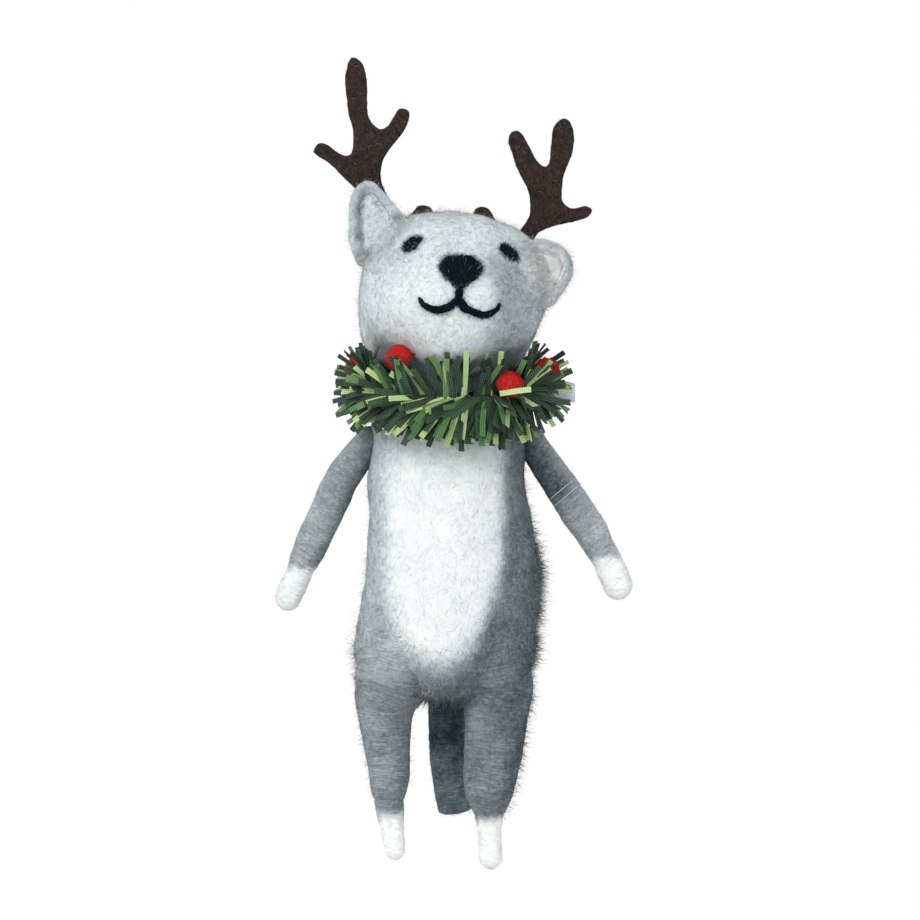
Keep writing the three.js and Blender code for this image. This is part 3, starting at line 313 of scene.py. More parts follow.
STRIP_TONES = [0.05, 0.35, 0.65, 0.95]
STRIP_TONE_SHARES = [0.38, 0.24, 0.2, 0.18]
STRIP_SETS = [  # degrees round the ring, tilt up from level, lean along the ring
    [[-90, -12, -15], [-50, -37, -35], [0, -68, -33], [30, -75, -14], [60, -65, -8], [90, -45, 0]],
    [[-90, 25, -10], [-50, 45, -30], [-20, 75, -35], [0, 85, 0], [60, 55, 10], [90, 30, 10]],
    [[-90, 5, -40], [-50, -5, -60], [0, -15, -66], [25, -28, -55], [60, -25, 25], [90, -10, 35]],
]
STRIP_SET_SHARES = [0.52, 0.26, 0.22]
COVER_STRIPS = {  # over the berries: degrees round, tilt, lean, length in mm, tone, layer in mm
    "front": [
        (-33, 66, 2, 10.5, 0.65, 4.6), (-30, 72, -6, 11, 0.05, 5), (-27, 60, -8, 10, 0.35, 4.6),
        (-36, 70, 4, 9.5, 0.05, 5), (-40, 64, -4, 9, 0.35, 4.8), (-43, 58, -8, 8, 0.65, 4.6),
        (-24, 64, -14, 10, 0.05, 3.4), (27, 20, 58, 7.5, 0.95, 5.4), (24, -25, 30, 6, 0.05, 4),
        (40, -40, 5, 6, 0.35, 4.6),
    ],
    "left": [
        (-62, 82, -4, 10, 0.35, 4.1), (-60, 76, 4, 10.5, 0.05, 4.6), (-66, 86, -8, 10, 0.05, 4.1),
        (-58, 72, 8, 10, 0.65, 4.1), (-70, 80, -12, 9.5, 0.35, 4.4), (-64, 62, 0, 9, 0.05, 4.6),
        (-61, 88, 6, 10, 0.35, 5.0), (-68, 84, 2, 10, 0.05, 4.6), (-57, 84, 10, 10.5, 0.05, 4.0),
        (-72, 72, -6, 9, 0.35, 4.4), (-65, 76, 12, 10, 0.35, 5.2), (-59, 66, -6, 9.5, 0.35, 4.4),
        (-63, 80, -14, 10.5, 0.65, 5.2), (-67, 70, 6, 10, 0.05, 5.4), (-64, 90, -2, 10.5, 0.05, 5.6),
        (-69, 88, 8, 10, 0.35, 5.2), (-60, 92, -8, 10, 0.35, 5.4), (-74, 82, 4, 9.5, 0.05, 5.0),
    ],
    "right": [
        (66, 36, 42, 7.5, 0.05, 2.3), (70, 20, 46, 7.5, 0.35, 2.3), (62, 50, 30, 7, 0.05, 2.3),
        (74, 28, 30, 7, 0.65, 2.3), (60, 8, 56, 8, 0.35, 2.3),
    ],
}
WREATH_TURNS = np.radians([-20, 20, -10, 10, 0])  # at rest last
TAB_AROUND = math.radians(101)
TAB_REACH = 10.6 * MM
TAB_HEIGHT = 4.4 * MM
TAB_DROOP = 3 * MM
TAB_ROOM = math.radians(13)
TAB_HALF_THICKNESS = 0.12 * MM
TAB_SHARES = [  # out from the core and along the ring
    [0.12, 0.02], [0.5, 0.09], [0.86, 0.1], [1, 0.02], [0.9, -0.09], [0.5, -0.07], [0.14, -0.02],
]

# Lumps on each surface: the noise's seed, then the size and height of each layer
LUMPS = {
    "head": (11, (6 * MM, 0.28 * MM), (2.2 * MM, 0.14 * MM), (0.9 * MM, 0.06 * MM)),
    "torso": (31, (7 * MM, 0.35 * MM), (2.4 * MM, 0.16 * MM), (1 * MM, 0.07 * MM)),
    "belly": (51, (5 * MM, 0.2 * MM), (2.2 * MM, 0.06 * MM)),
    "ear": (71, (3 * MM, 0.22 * MM), (1.2 * MM, 0.1 * MM)),
    "face_cap": (91, (1.2 * MM, 0.14 * MM), (0.5 * MM, 0.08 * MM)),
    "cap_outline": (93, (1.3 * MM, 0.26 * MM), (0.55 * MM, 0.16 * MM)),
    "mouth": (95, (1.1 * MM, 0.14 * MM), (0.5 * MM, 0.08 * MM)),
    "antler": (81, (3 * MM, 0.1 * MM), (1.1 * MM, 0.07 * MM), (0.6 * MM, 0.04 * MM)),
    "berry": (61, (1.6 * MM, 0.16 * MM), (0.6 * MM, 0.08 * MM)),
    "core": (905, (1.5 * MM, 0.45 * MM), (0.7 * MM, 0.2 * MM)),
}

# Lying wool: how many fibres, their shortest and longest in mm, and the points in each
LYING_WOOL = {
    "head": (12000, 1.6, 4, 4), "ear": (3100, 1, 2.8, 4), "ear_lining": (1800, 1.2, 3.5, 4),
    "torso": (13000, 1.8, 4.2, 4), "belly": (2600, 1, 2.6, 4), "arm": (2900, 4, 8, 5),
    "leg": (4100, 4, 9, 5), "tail": (2500, 3, 7, 5), "bulb": (900, 1.5, 4, 4),
}
LYING_RADII = (0.02, 0.042)  # mm
LYING_WHITE = (0, 0.05)  # mean and spread
ALL_WAYS = (0, 3.2)  # mean and spread of the heading

# Standing fuzz: how many fibres, and their shortest and longest in mm
FUZZ = {
    "head": (5000, 0.7, 2.6), "head_down": (12000, 0.25, 0.8), "ear_root": (900, 1, 2.6),
    "ear": (4800, 0.3, 2.0), "ear_lining": (700, 0.8, 2.2), "torso": (8500, 0.6, 3.4),
    "torso_down": (13000, 0.25, 0.9), "hips": (3300, 1, 3.2), "flank": (4200, 0.8, 4.2),
    "crotch": (1100, 1.2, 4), "belly": (1800, 0.2, 0.8), "arm": (1100, 0.3, 1.2),
    "leg_left": (1800, 0.5, 2.2), "leg_right": (3800, 0.6, 3.4), "tail": (1500, 0.4, 1.5),
    "bulb": (520, 0.2, 0.8),
}
FUZZ_RADII = (0.018, 0.032)  # mm
FUZZ_WHITE = (0.03, 0.06)
SHORT_FUZZ = 2.2  # mm
FIBRE_SHARE = 1.0
FIBRE_MIX = 0.6 * MM
DARKEST_WOOL = -0.25
HARDLY_ANY = 1e-9

# Floor, background and lamps
FLOOR_HALF_WIDTH = 3.0
FLOOR_DROP = 30 * MM
FLOOR_WHITE_SHARE = 0.9
LAMPS = {  # place and width in metres, power in watts
    "key": ((-0.34, -0.55, 0.32), 0.35, 2.9),
    "fill": ((0.5, -0.5, 0.0), 0.5, 0.5),
}
LAMP_AIM = Vector((0, 0, -0.06))


# Numbers


def unit(vectors):
    """Vectors divided by their lengths, along the last axis."""
    return vectors / np.maximum(np.linalg.norm(vectors, axis=-1, keepdims=True), 1e-12)


def ease(low, high, value):
    """0 below low, 1 above high, and three t squared less two t cubed between."""
    t = np.clip((value - low) / (high - low), 0, 1)
    return t * t * (3 - 2 * t)


def lattice_noise(points, size, seed):
    """Smooth random value from -1 to 1: each corner of a lattice of cells of this size gets a random
    number from its whole-number place, and a point blends its cell's eight corners by eased shares."""
    cell = np.asarray(points) / size
    base = np.floor(cell).astype(np.int64)
    part = cell - base
    part = part * part * (3 - 2 * part)
    total = np.zeros(cell.shape[:-1])
    for corner in range(8):
        step = np.array([corner & 1, corner >> 1 & 1, corner >> 2 & 1])
        x, y, z = np.moveaxis(base + step, -1, 0)
        mixed = (x * 73856093) ^ (y * 19349663) ^ (z * 83492791) ^ (seed * 40503 + 977)
        mixed = ((mixed ^ (mixed >> 13)) * 1274126177) & 0xFFFFFFFF
        mixed = mixed ^ (mixed >> 16)
        weight = np.prod(np.where(step == 1, part, 1 - part), axis=-1)
        total += weight * ((mixed & 0xFFFF) / 32767.5 - 1)
    return total


def lumps(points, seed, *layers):
    """Sum of lattice noises, one for each (cell size, height) layer."""
    return sum(
        height * lattice_noise(points, size, seed + i) for i, (size, height) in enumerate(layers)
    )


def run_along(path):
    """Distance along a path at each of its points."""
    return np.r_[0, np.cumsum(np.linalg.norm(np.diff(path, axis=0), axis=1))]


def smooth_path(points, count, closed=False):
    """Evenly spaced points on a Catmull-Rom curve through the given ones: from one to the next it is
    the cubic whose slope at each is half the step between its neighbours."""
    knots = np.asarray(points, float)
    if closed:
        knots = np.vstack([knots[-1:], knots, knots[:2]])
    else:
        knots = np.vstack([2 * knots[:1] - knots[1:2], knots, 2 * knots[-1:] - knots[-2:-1]])
    share = np.linspace(0, 1, 24, endpoint=False)[None, :, None]
    before, start, finish, after = (knots[i:len(knots) - 3 + i][:, None] for i in range(4))
    bend = 2 * before - 5 * start + 4 * finish - after
    twist = 3 * start - 3 * finish + after - before
    curve = 0.5 * (2 * start + (finish - before) * share + bend * share**2 + twist * share**3)
    curve = np.vstack([curve.reshape(-1, knots.shape[1]), knots[-2:-1]])
    run = run_along(curve)
    at = np.linspace(0, run[-1], count, endpoint=not closed)
    return np.stack([np.interp(at, run, column) for column in curve.T], 1)


def smooth_values(places, values, at):
    """Values at places, joined by a Catmull-Rom curve and read at other places."""
    curve = smooth_path(np.stack([places, values], 1), 400)
    return np.interp(at, curve[:, 0], curve[:, 1])


def smooth_greatest(first, second, fillet):
    """The greater of two values, blended where they differ by less than the fillet: the two mixed
    by a share, plus the fillet times the share and one less the share."""
    share = np.clip(0.5 + 0.5 * (first - second) / fillet, 0, 1)
    return first * share + second * (1 - share) + fillet * share * (1 - share)


def rotation(axis, angle):
    """Matrix that turns column vectors about X or Y."""
    cosine, sine = math.cos(angle), math.sin(angle)
    if axis == "x":
        return np.array([[1, 0, 0], [0, cosine, -sine], [0, sine, cosine]])
    return np.array([[cosine, 0, sine], [0, 1, 0], [-sine, 0, cosine]])


def angles_round(count):
    """Angles evenly spaced round one turn, from zero."""
    return TURN * np.arange(count) / count


def ball_directions(rows, columns, first=0.0):
    """Unit directions over a ball: rows climb from its foot to its top, half a step short of both,
    and columns go round from the first angle."""
    height = math.pi * ((np.arange(rows) + 0.5) / rows - 0.5)[:, None]
    turn = angles_round(columns) + first
    level = np.cos(height)
    return np.stack([level * np.cos(turn), level * np.sin(turn), np.sin(height) + 0 * turn], -1)


# Meshes


def make_mesh(name, points, faces, material, uv_maps=None, attributes=None, smooth=True):
    """Mesh object from points and arrays of faces with equal corner counts. uv_maps holds two
    numbers for each face corner, and attributes a number or a vector for each point."""
    corners = np.concatenate([part.ravel() for part in faces]).astype(np.int32)
    sizes = np.concatenate([np.full(len(part), part.shape[1]) for part in faces])
    starts = np.concatenate([[0], np.cumsum(sizes)[:-1]]).astype(np.int32)
    mesh = bpy.data.meshes.new(name)
    mesh.vertices.add(len(points))
    mesh.vertices.foreach_set("co", np.asarray(points, np.float32).ravel())
    mesh.loops.add(len(corners))
    mesh.loops.foreach_set("vertex_index", corners)
    mesh.polygons.add(len(sizes))
    mesh.polygons.foreach_set("loop_start", starts)
    mesh.update(calc_edges=True)
    for key, values in (uv_maps or {}).items():
        layer = mesh.uv_layers.new(name=key)
        layer.uv.foreach_set("vector", np.asarray(values, np.float32).ravel())
    for key, values in (attributes or {}).items():
        values = np.asarray(values, np.float32)
        kind, field = ("FLOAT", "value") if values.ndim == 1 else ("FLOAT_VECTOR", "vector")
        mesh.attributes.new(key, kind, "POINT").data.foreach_set(field, values.ravel())
    mesh.polygons.foreach_set("use_smooth", np.full(len(sizes), smooth))
    mesh.materials.append(material)
    piece = bpy.data.objects.new(name, mesh)
    bpy.context.scene.collection.objects.link(piece)
    return piece


def grid_normals(grid):
    """Unit normals of a grid whose columns run round: rows' step crossed with columns' step, turned
    to point away from each row's middle."""
    down = np.gradient(grid, axis=0)
    across = (np.roll(grid, -1, 1) - np.roll(grid, 1, 1)) / 2
    normals = unit(np.cross(across, down))
    outward = grid - grid.mean(axis=1, keepdims=True)
    return normals * (1 if (normals * outward).sum() > 0 else -1)


def shell(name, grid, material, **attributes):
    """Closed skin over a grid of rows by columns. Columns run round and join up, and the first and
    last rows close on their mean points. OFBake spreads columns and rows over the unit square."""
    rows, columns = grid.shape[:2]
    ring = np.arange(rows * columns).reshape(rows, columns)
    after = np.roll(ring, -1, 1)
    foot, top = (np.full(columns, rows * columns + end) for end in (0, 1))
    faces = [
        np.stack([ring[:-1], after[:-1], after[1:], ring[1:]], -1).reshape(-1, 4),
        np.stack([foot, after[0], ring[0]], -1),
        np.stack([top, ring[-1], after[-1]], -1),
    ]
    points = np.vstack([grid.reshape(-1, 3), grid[0].mean(0), grid[-1].mean(0)])

    def corner_uv(row, column):
        return np.stack(np.broadcast_arrays(column / columns, row / (rows + 1)), -1)

    row, column = np.indices((rows - 1, columns))[..., None]
    end_column = np.arange(columns)[:, None]
    uv = [
        corner_uv(row + [1, 1, 2, 2], column + [0, 1, 1, 0]).reshape(-1, 4, 2),
        corner_uv(np.array([0, 1, 1]), end_column + [0.5, 1, 0]),
        corner_uv(np.array([rows + 1, rows, rows]), end_column + [0.5, 0, 1]),
    ]
    if signed_volume(grid) < 0:
        faces = [part[:, ::-1] for part in faces]
        uv = [part[:, ::-1] for part in uv]
    uv = np.concatenate([part.reshape(-1, 2) for part in uv])
    ended = {key: with_ends(values) for key, values in attributes.items()}
    return make_mesh(name, points, faces, material, {"OFBake": uv}, ended)


def signed_volume(grid):
    """Six times the volume inside a grid's quads, positive where their order makes their normals
    point out: each half of a quad adds its corners' triple product."""
    after = np.roll(grid, -1, 1)
    first, second, third, fourth = grid[:-1], after[:-1], after[1:], grid[1:]
    return (first * (np.cross(second, third) + np.cross(third, fourth))).sum()


def with_ends(values):
    """A grid's values as one list, with the mean of the first and last rows for the two end points."""
    values = np.asarray(values)
    flat = values.reshape(-1, *values.shape[2:])
    return np.concatenate([flat, values[:1].mean(1), values[-1:].mean(1)])


def tube_grid(path, radii, columns, reference, depth=1.0):
    """Rings round a path: out is reference crossed with the direction, over is the direction crossed
    with out, and a ring point is out times the angle's cosine plus over times its sine and depth."""
    along = unit(np.gradient(path, axis=0))
    out = unit(np.cross(reference, along))
    over = np.cross(along, out)
    angle = angles_round(columns)
    radii = np.asarray(radii)[:, None, None]
    depth = np.reshape(depth, (-1, 1, 1))
    ring = out[:, None] * np.cos(angle)[None, :, None]
    ring = ring + depth * over[:, None] * np.sin(angle)[None, :, None]
    return path[:, None] + radii * ring


def round_ends(path, radii, first=1.0, last=1.0):
    """Radii drawn in to nothing at both ends like a ball, over a run of first or last radii."""
    run = run_along(path)
    near = np.clip(run / (first * radii[0]), 0, 1)
    far = np.clip((run[-1] - run) / (last * radii[-1]), 0, 1)
    return radii * np.sqrt(1 - (1 - near) ** 2) * np.sqrt(1 - (1 - far) ** 2)


def on_grid(grid, rows, columns):
    """A grid read at fractional rows and columns by blending the four nearest points."""
    rows = np.clip(rows, 0, grid.shape[0] - 1.001)
    row, column = np.floor(rows).astype(int), np.floor(columns).astype(int)
    row_part, column_part = (rows - row)[..., None], (columns - column)[..., None]
    left, right = column % grid.shape[1], (column + 1) % grid.shape[1]
    low = grid[row, left] * (1 - column_part) + grid[row, right] * column_part
    high = grid[row + 1, left] * (1 - column_part) + grid[row + 1, right] * column_part
    return low * (1 - row_part) + high * row_part


def scatter(grid, count, rng, weight=None):
    """Random fractional rows and columns, a cell being drawn as often as its area times its weight."""
    after = np.roll(grid, -1, 1)
    area = np.linalg.norm(np.cross(after[:-1] - grid[:-1], grid[1:] - grid[:-1]), axis=-1)
    if weight is not None:
        area = area * weight[:-1]
    chance = np.cumsum(area.ravel())
    cell = np.searchsorted(chance, rng.random(count) * chance[-1])
    row, column = np.divmod(np.minimum(cell, area.size - 1), grid.shape[1])
    return row + rng.random(count), column + rng.random(count)


# Wool fibres


def fibres(name, lines, radius, tone, white, facing, material):
    """Closed three-sided fibres, lower than wide. Each line is a row of points: the first and last
    close it, and each point between has a ring of three round it. The ring's side is the line's
    direction crossed with its facing, the normal of the skin that it grows from, which the
    material also shades it by."""
    count, steps = lines.shape[:2]
    rings = steps - 2
    along = unit(np.gradient(lines, axis=1))[:, 1:-1]
    side = unit(np.cross(along, facing[:, None] + 0.1 * np.roll(along, 1, -1)))
    flat = np.cross(side, along)
    angle = angles_round(3)[:, None]
    taper = np.linspace(1, 0.65, rings)[None, :, None, None]
    ring = np.cos(angle) * side[:, :, None] + 0.6 * np.sin(angle) * flat[:, :, None]
    ring = lines[:, 1:-1, None] + np.reshape(radius, (-1, 1, 1, 1)) * taper * ring
    points = np.concatenate([lines[:, :1], ring.reshape(count, -1, 3), lines[:, -1:]], 1)
    inner = 1 + np.arange(3 * rings).reshape(rings, 3)
    after = np.roll(inner, -1, 1)
    end = 3 * rings + 1
    start = np.stack([np.zeros(3, int), after[0], inner[0]], -1)
    middle = np.concatenate([
        np.stack([inner[:-1], after[:-1], after[1:]], -1).reshape(-1, 3),
        np.stack([inner[:-1], after[1:], inner[1:]], -1).reshape(-1, 3),
    ])
    finish = np.stack([inner[-1], after[-1], np.full(3, end)], -1)
    template = np.concatenate([start, middle, finish])[:, ::-1]
    faces = (np.arange(count)[:, None, None] * (end + 1) + template).reshape(-1, 3)
    place = np.stack([np.clip(tone / 2, 0, 1), np.clip(0.2 + 0.8 * white, 0, 1)], -1) * 0.9 + 0.05
    spread = np.zeros((end + 1, 2))
    spread[1:-1, 0] = np.tile([-1, 0, 1], rings)
    spread[1:-1, 1] = np.repeat(np.linspace(-0.5, 0.5, rings), 3)
    spread[0, 1], spread[-1, 1] = -1, 1
    uv = place[:, None] + 0.03 * spread
    uv = uv.reshape(-1, 2)[faces.ravel()]
    per_point = {
        "tone": np.repeat(tone, end + 1), "white": np.repeat(white, end + 1),
        "facing": np.repeat(facing, end + 1, axis=0),
    }
    return make_mesh(name, points.reshape(-1, 3), [faces], material, {"OFBake": uv}, per_point)


def lying_lines(grid, normals, rows, columns, rng, length, heading, curl, lift, steps):
    """Fibres laid on a grid: each runs its length at a heading from the columns' direction that
    turns by curl on the way, is read back from the grid, and bows up by lift in the middle."""
    count = len(rows)
    across = on_grid(np.roll(grid, -1, 1) - grid, rows, columns)
    down = on_grid(np.gradient(grid, axis=0), rows, columns)
    share = np.linspace(0, 1, steps)[None]
    angle = heading[:, None] + curl[:, None] * (share - 0.5)
    step = (length / (steps - 1))[:, None]
    across_step = step * np.cos(angle) / np.maximum(np.linalg.norm(across, axis=-1), 2e-5)[:, None]
    down_step = step * np.sin(angle) / np.maximum(np.linalg.norm(down, axis=-1), 2e-5)[:, None]
    at_row = rows[:, None] + np.cumsum(down_step, 1) - down_step.sum(1, keepdims=True) / 2
    at_column = columns[:, None] + np.cumsum(across_step, 1) - across_step.sum(1, keepdims=True) / 2
    at_row = np.clip(at_row, 0, grid.shape[0] - 1)
    rise = lift[:, None] * np.sin(math.pi * share) - 0.02 * MM
    rise = rise + 0.012 * MM * rng.standard_normal((count, steps))
    return on_grid(grid, at_row, at_column) + rise[..., None] * on_grid(normals, at_row, at_column)


def standing_lines(grid, normals, rows, columns, rng, length, lean, comb=np.zeros(3), steps=3):
    """Fibres that stand out of a grid: each starts just under it, leaves along the normal tilted by
    lean toward comb, and bends over by a random part of its length times the share squared."""
    count = len(rows)
    root = on_grid(grid, rows, columns)
    normal = unit(on_grid(normals, rows, columns))
    wander = unit(rng.standard_normal((count, 3)))
    tilt = comb + 0.8 * wander
    tilt = unit(tilt - normal * (tilt * normal).sum(-1, keepdims=True))
    lead = normal * np.cos(lean)[:, None] + tilt * np.sin(lean)[:, None]
    bend = unit(np.cross(lead, wander)) * rng.uniform(0.1, 0.55, count)[:, None]
    share = np.linspace(0, 1, steps)[None, :, None]
    reach = length[:, None, None]
    run = root[:, None] + reach * (lead[:, None] * share + bend[:, None] * share**2)
    return run - 0.15 * MM * normal[:, None] * (1 - share)


def tones(rng, count, white):
    """Brightness of each fibre: e to the power of a normal draw, spread widest in the grey wool."""
    grey = 1 - np.clip(white, 0, 1)
    return np.clip(np.exp((0.56 * grey + 0.01) * rng.standard_normal(count)), 0.42, 1.02 + 1.1 * grey)


# Shader values


class Value:
    """A socket of a material's tree. Sums with it add Math nodes."""

    def __init__(self, shader, socket):
        self.shader, self.socket = shader, socket

    def math(self, operation, *others, clamp=False):
        settings = {"operation": operation, "use_clamp": clamp}
        numbers = {i: value for i, value in enumerate([self, *others])}
        return self.shader.node("ShaderNodeMath", settings, numbers)

    def __add__(self, other):
        return self.math("ADD", other)

    def __sub__(self, other):
        return self.math("SUBTRACT", other)

    def __rsub__(self, other):
        return self.shader.node("ShaderNodeMath", {"operation": "SUBTRACT"}, {0: other, 1: self})

    def __mul__(self, other):
        return self.math("MULTIPLY", other)

    def __truediv__(self, other):
        return self.math("DIVIDE", other)

    __radd__ = __add__
    __rmul__ = __mul__

    def clamped(self):
        return self.math("ADD", 0, clamp=True)


class Shader:
    """The node tree of one material or world, its owner."""

    def __init__(self, owner):
        owner.use_nodes = True
        self.owner = owner
        self.tree = owner.node_tree
        self.tree.nodes.clear()

    def node(self, kind, settings=None, sockets=None, output=0):
        """Any node: its settings first, then numbers, colours or links for its sockets. A ramp's
        stops are (place, colour) pairs."""
        made = self.tree.nodes.new(kind)
        for key, value in (settings or {}).items():
            if key == "stops":
                self.set_stops(made.color_ramp, value)
            else:
                setattr(made, key, value)
        for key, value in (sockets or {}).items():
            if isinstance(value, Value):
                self.tree.links.new(value.socket, made.inputs[key])
            else:
                made.inputs[key].default_value = value
        return Value(self, made.outputs[output])

    @staticmethod
    def set_stops(ramp, stops):
        while len(ramp.elements) < len(stops):
            ramp.elements.new(0.5)
        for element, (place, colour) in zip(ramp.elements, stops):
            element.position = place
            element.color = colour

    def place(self):
        return self.node("ShaderNodeTexCoord", output="Object")

    def attribute(self, name, output="Fac"):
        return self.node("ShaderNodeAttribute", {"attribute_name": name}, output=output)

    def noise(self, vector, scale, detail=2.0, distortion=0.0):
        sockets = {"Vector": vector, "Scale": scale, "Detail": detail, "Distortion": distortion}
        return self.node("ShaderNodeTexNoise", None, sockets)

    def stretched(self, vector, scale):
        return self.node("ShaderNodeMapping", None, {"Vector": vector, "Scale": scale})

    def wavy(self, vector, scale, amount):
        """A place moved about by a noise's three colours."""
        colours = self.node("ShaderNodeTexNoise", None, {"Vector": vector, "Scale": scale}, "Color")
        off = self.node(
            "ShaderNodeVectorMath", {"operation": "SUBTRACT"}, {0: colours, 1: (0.5, 0.5, 0.5)},
        )
        off = self.scaled(off, amount)
        return self.node("ShaderNodeVectorMath", {"operation": "ADD"}, {0: vector, 1: off})

    def hairs(self, vector, length, width, low, high):
        """Fine streaks that cross one another: noise drawn out along several directions in turn, each
        from 0 at the low value to 1 at the high one, the strongest showing."""
        vector = self.wavy(vector, 400, 1.2 * MM)
        strongest = None
        for turn in HAIR_TURNS:
            sockets = {"Vector": vector, "Rotation": turn, "Scale": (length, width, width)}
            drawn = self.node("ShaderNodeMapping", {"vector_type": "TEXTURE"}, sockets)
            streak = ((self.noise(drawn, 1, 1) - low) / (high - low)).clamped()
            strongest = streak if strongest is None else strongest.math("MAXIMUM", streak)
        return strongest

    def mix(self, share, first, second):
        """Two colours mixed. Sockets 6 and 7, and output 2, are the Mix node's colour ones."""
        sockets = {0: share, 6: first, 7: second}
        return self.node("ShaderNodeMix", {"data_type": "RGBA"}, sockets, 2)

    def scaled(self, colour, amount):
        """A colour made brighter or darker by one number."""
        return self.node(
            "ShaderNodeVectorMath", {"operation": "SCALE"}, {"Vector": colour, "Scale": amount},
        )

    def bump(self, height, distance, strength=1.0):
        sockets = {"Height": height, "Distance": distance, "Strength": strength}
        return self.node("ShaderNodeBump", None, sockets)

    def finish(self, **sockets):
        """Closes the tree with a Principled shader and returns the material."""
        named = {key.replace("_", " "): value for key, value in sockets.items()}
        return self.close(self.node("ShaderNodeBsdfPrincipled", None, named))

    def close(self, surface, kind="ShaderNodeOutputMaterial"):
        """Links a surface to the tree's output and returns the tree's owner."""
        made = self.tree.nodes.new(kind)
        self.tree.links.new(surface.socket, made.inputs["Surface"])
        return self.owner


def paint(red, green, blue):
    """A screen colour from 0 to 255 as the linear colour that the shaders take."""
    screen = np.array([red, green, blue]) / 255
    linear = np.where(screen <= 0.04045, screen / 12.92, ((screen + 0.055) / 1.055) ** 2.4)
    return (*linear.tolist(), 1.0)


# Materials

HAIR_TURNS = [(0, 0.3, 0.2), (0, 1.1, -0.4), (0, 1.9, 0.5), (0, 2.7, -0.2)]
WOOL_STOPS = [
    (0, paint(30, 42, 56)), (0.1, paint(63, 78, 91)), (0.2, paint(105, 113, 117)),
    (0.44, paint(156, 163, 165)), (0.68, paint(203, 209, 211)), (1, paint(247, 247, 243)),
]


def wool_colour(shader, white):
    """Wool from navy where white is a quarter below 0, through grey at 0, to white at 1."""
    return shader.node("ShaderNodeValToRGB", {"stops": WOOL_STOPS}, {"Fac": white * 0.8 + 0.2})


def wool(name, wound=False):
    """Felted wool coloured by its white attribute and mottled, with fine crossed streaks, or on wound
    wool threads and bands round the limb. Its bumps and streaks are strongest where it is grey."""
    shader = Shader(bpy.data.materials.new(name))
    place = shader.place()
    cloud = shader.noise(place, 260, 4, 0.6)
    mottle = shader.noise(place, 1100, 3, 0.3)
    white = shader.attribute("white")
    grey = (1.12 - white).clamped()
    colour = wool_colour(shader, white + (cloud - 0.5) * 0.2 + (mottle - 0.5) * grey * 0.4)
    fine = shader.noise(place, 6000, 2)
    if wound:
        lay = shader.attribute("lay", "Vector")
        lay = shader.wavy(lay, 1.5, 0.5 * MM)
        threads = shader.noise(shader.stretched(lay, (1.6, 1.6, 4200)), 1, 3, 0.4)
        bands = shader.noise(shader.stretched(lay, (0.5, 0.5, 800)), 1, 2, 0.2)
        light = ((threads - 0.5) / 0.22).clamped()
        height = threads * 0.7 + bands * 0.5 + fine * 0.2
        shade = 0.65 + (light * 0.6 + bands * 0.36) * grey + white * 0.31
    else:
        light = shader.hairs(place, 2.2 * MM, 0.16 * MM, 0.5, 0.72)
        dark = shader.hairs(place, 1.8 * MM, 0.22 * MM, 0.56, 0.74)
        height = light * 0.6 + fine * 0.3 + mottle * 0.5
        shade = 0.93 + (light * 0.34 - dark * 0.2) * grey + (light - dark) * 0.03
    return shader.finish(
        Base_Color=shader.scaled(colour, shade), Roughness=0.95, Specular_IOR_Level=0.15,
        Normal=shader.bump(height * (grey * 0.95 + 0.06), 0.13 * MM, 0.5),
    )


def skin_normal(shader):
    """The normal of the skin under a fibre, so that the fibre is lit as the skin is."""
    settings = {"vector_type": "NORMAL", "convert_from": "OBJECT", "convert_to": "WORLD"}
    facing = shader.attribute("facing", "Vector")
    return shader.node("ShaderNodeVectorTransform", settings, {0: facing})


def wool_fibre(name):
    """Single wool fibres, coloured as the wool is and made lighter or darker one by one."""
    shader = Shader(bpy.data.materials.new(name))
    colour = wool_colour(shader, shader.attribute("white"))
    colour = shader.scaled(colour, shader.attribute("tone"))
    return shader.finish(
        Base_Color=colour, Roughness=0.9, Specular_IOR_Level=0.2, Normal=skin_normal(shader),
    )


def tinted_fibre(name, dark, light):
    """Single dyed fibres, from dark to light by their tone."""
    shader = Shader(bpy.data.materials.new(name))
    tone = shader.attribute("tone") * 0.5
    colour = shader.node("ShaderNodeValToRGB", {"stops": [(0.1, dark), (0.9, light)]}, {"Fac": tone})
    return shader.finish(
        Base_Color=colour, Roughness=0.9, Specular_IOR_Level=0.1, Normal=skin_normal(shader),
    )


def dyed_felt(name, dark, middle, light, grain, distance, lightness):
    """Dyed felt: two dyed shades in small clouds, crossed by fine lighter streaks, whose share of
    the light colour is the lightness."""
    shader = Shader(bpy.data.materials.new(name))
    place = shader.place()
    cloud = shader.noise(place, grain, 4, 0.8)
    colour = shader.node(
        "ShaderNodeValToRGB", {"stops": [(0.3, dark), (0.7, middle)]}, {"Fac": cloud},
    )
    hairs = shader.hairs(place, 1.6 * MM, 0.13 * MM, 0.54, 0.74)
    colour = shader.mix(hairs * lightness, colour, light)
    fine = shader.noise(place, 6000, 2)
    height = cloud + hairs * 0.4 + fine * 0.4
    return shader.finish(
        Base_Color=colour, Roughness=0.95, Specular_IOR_Level=0.05,
        Normal=shader.bump(height, distance, 0.8),
    )


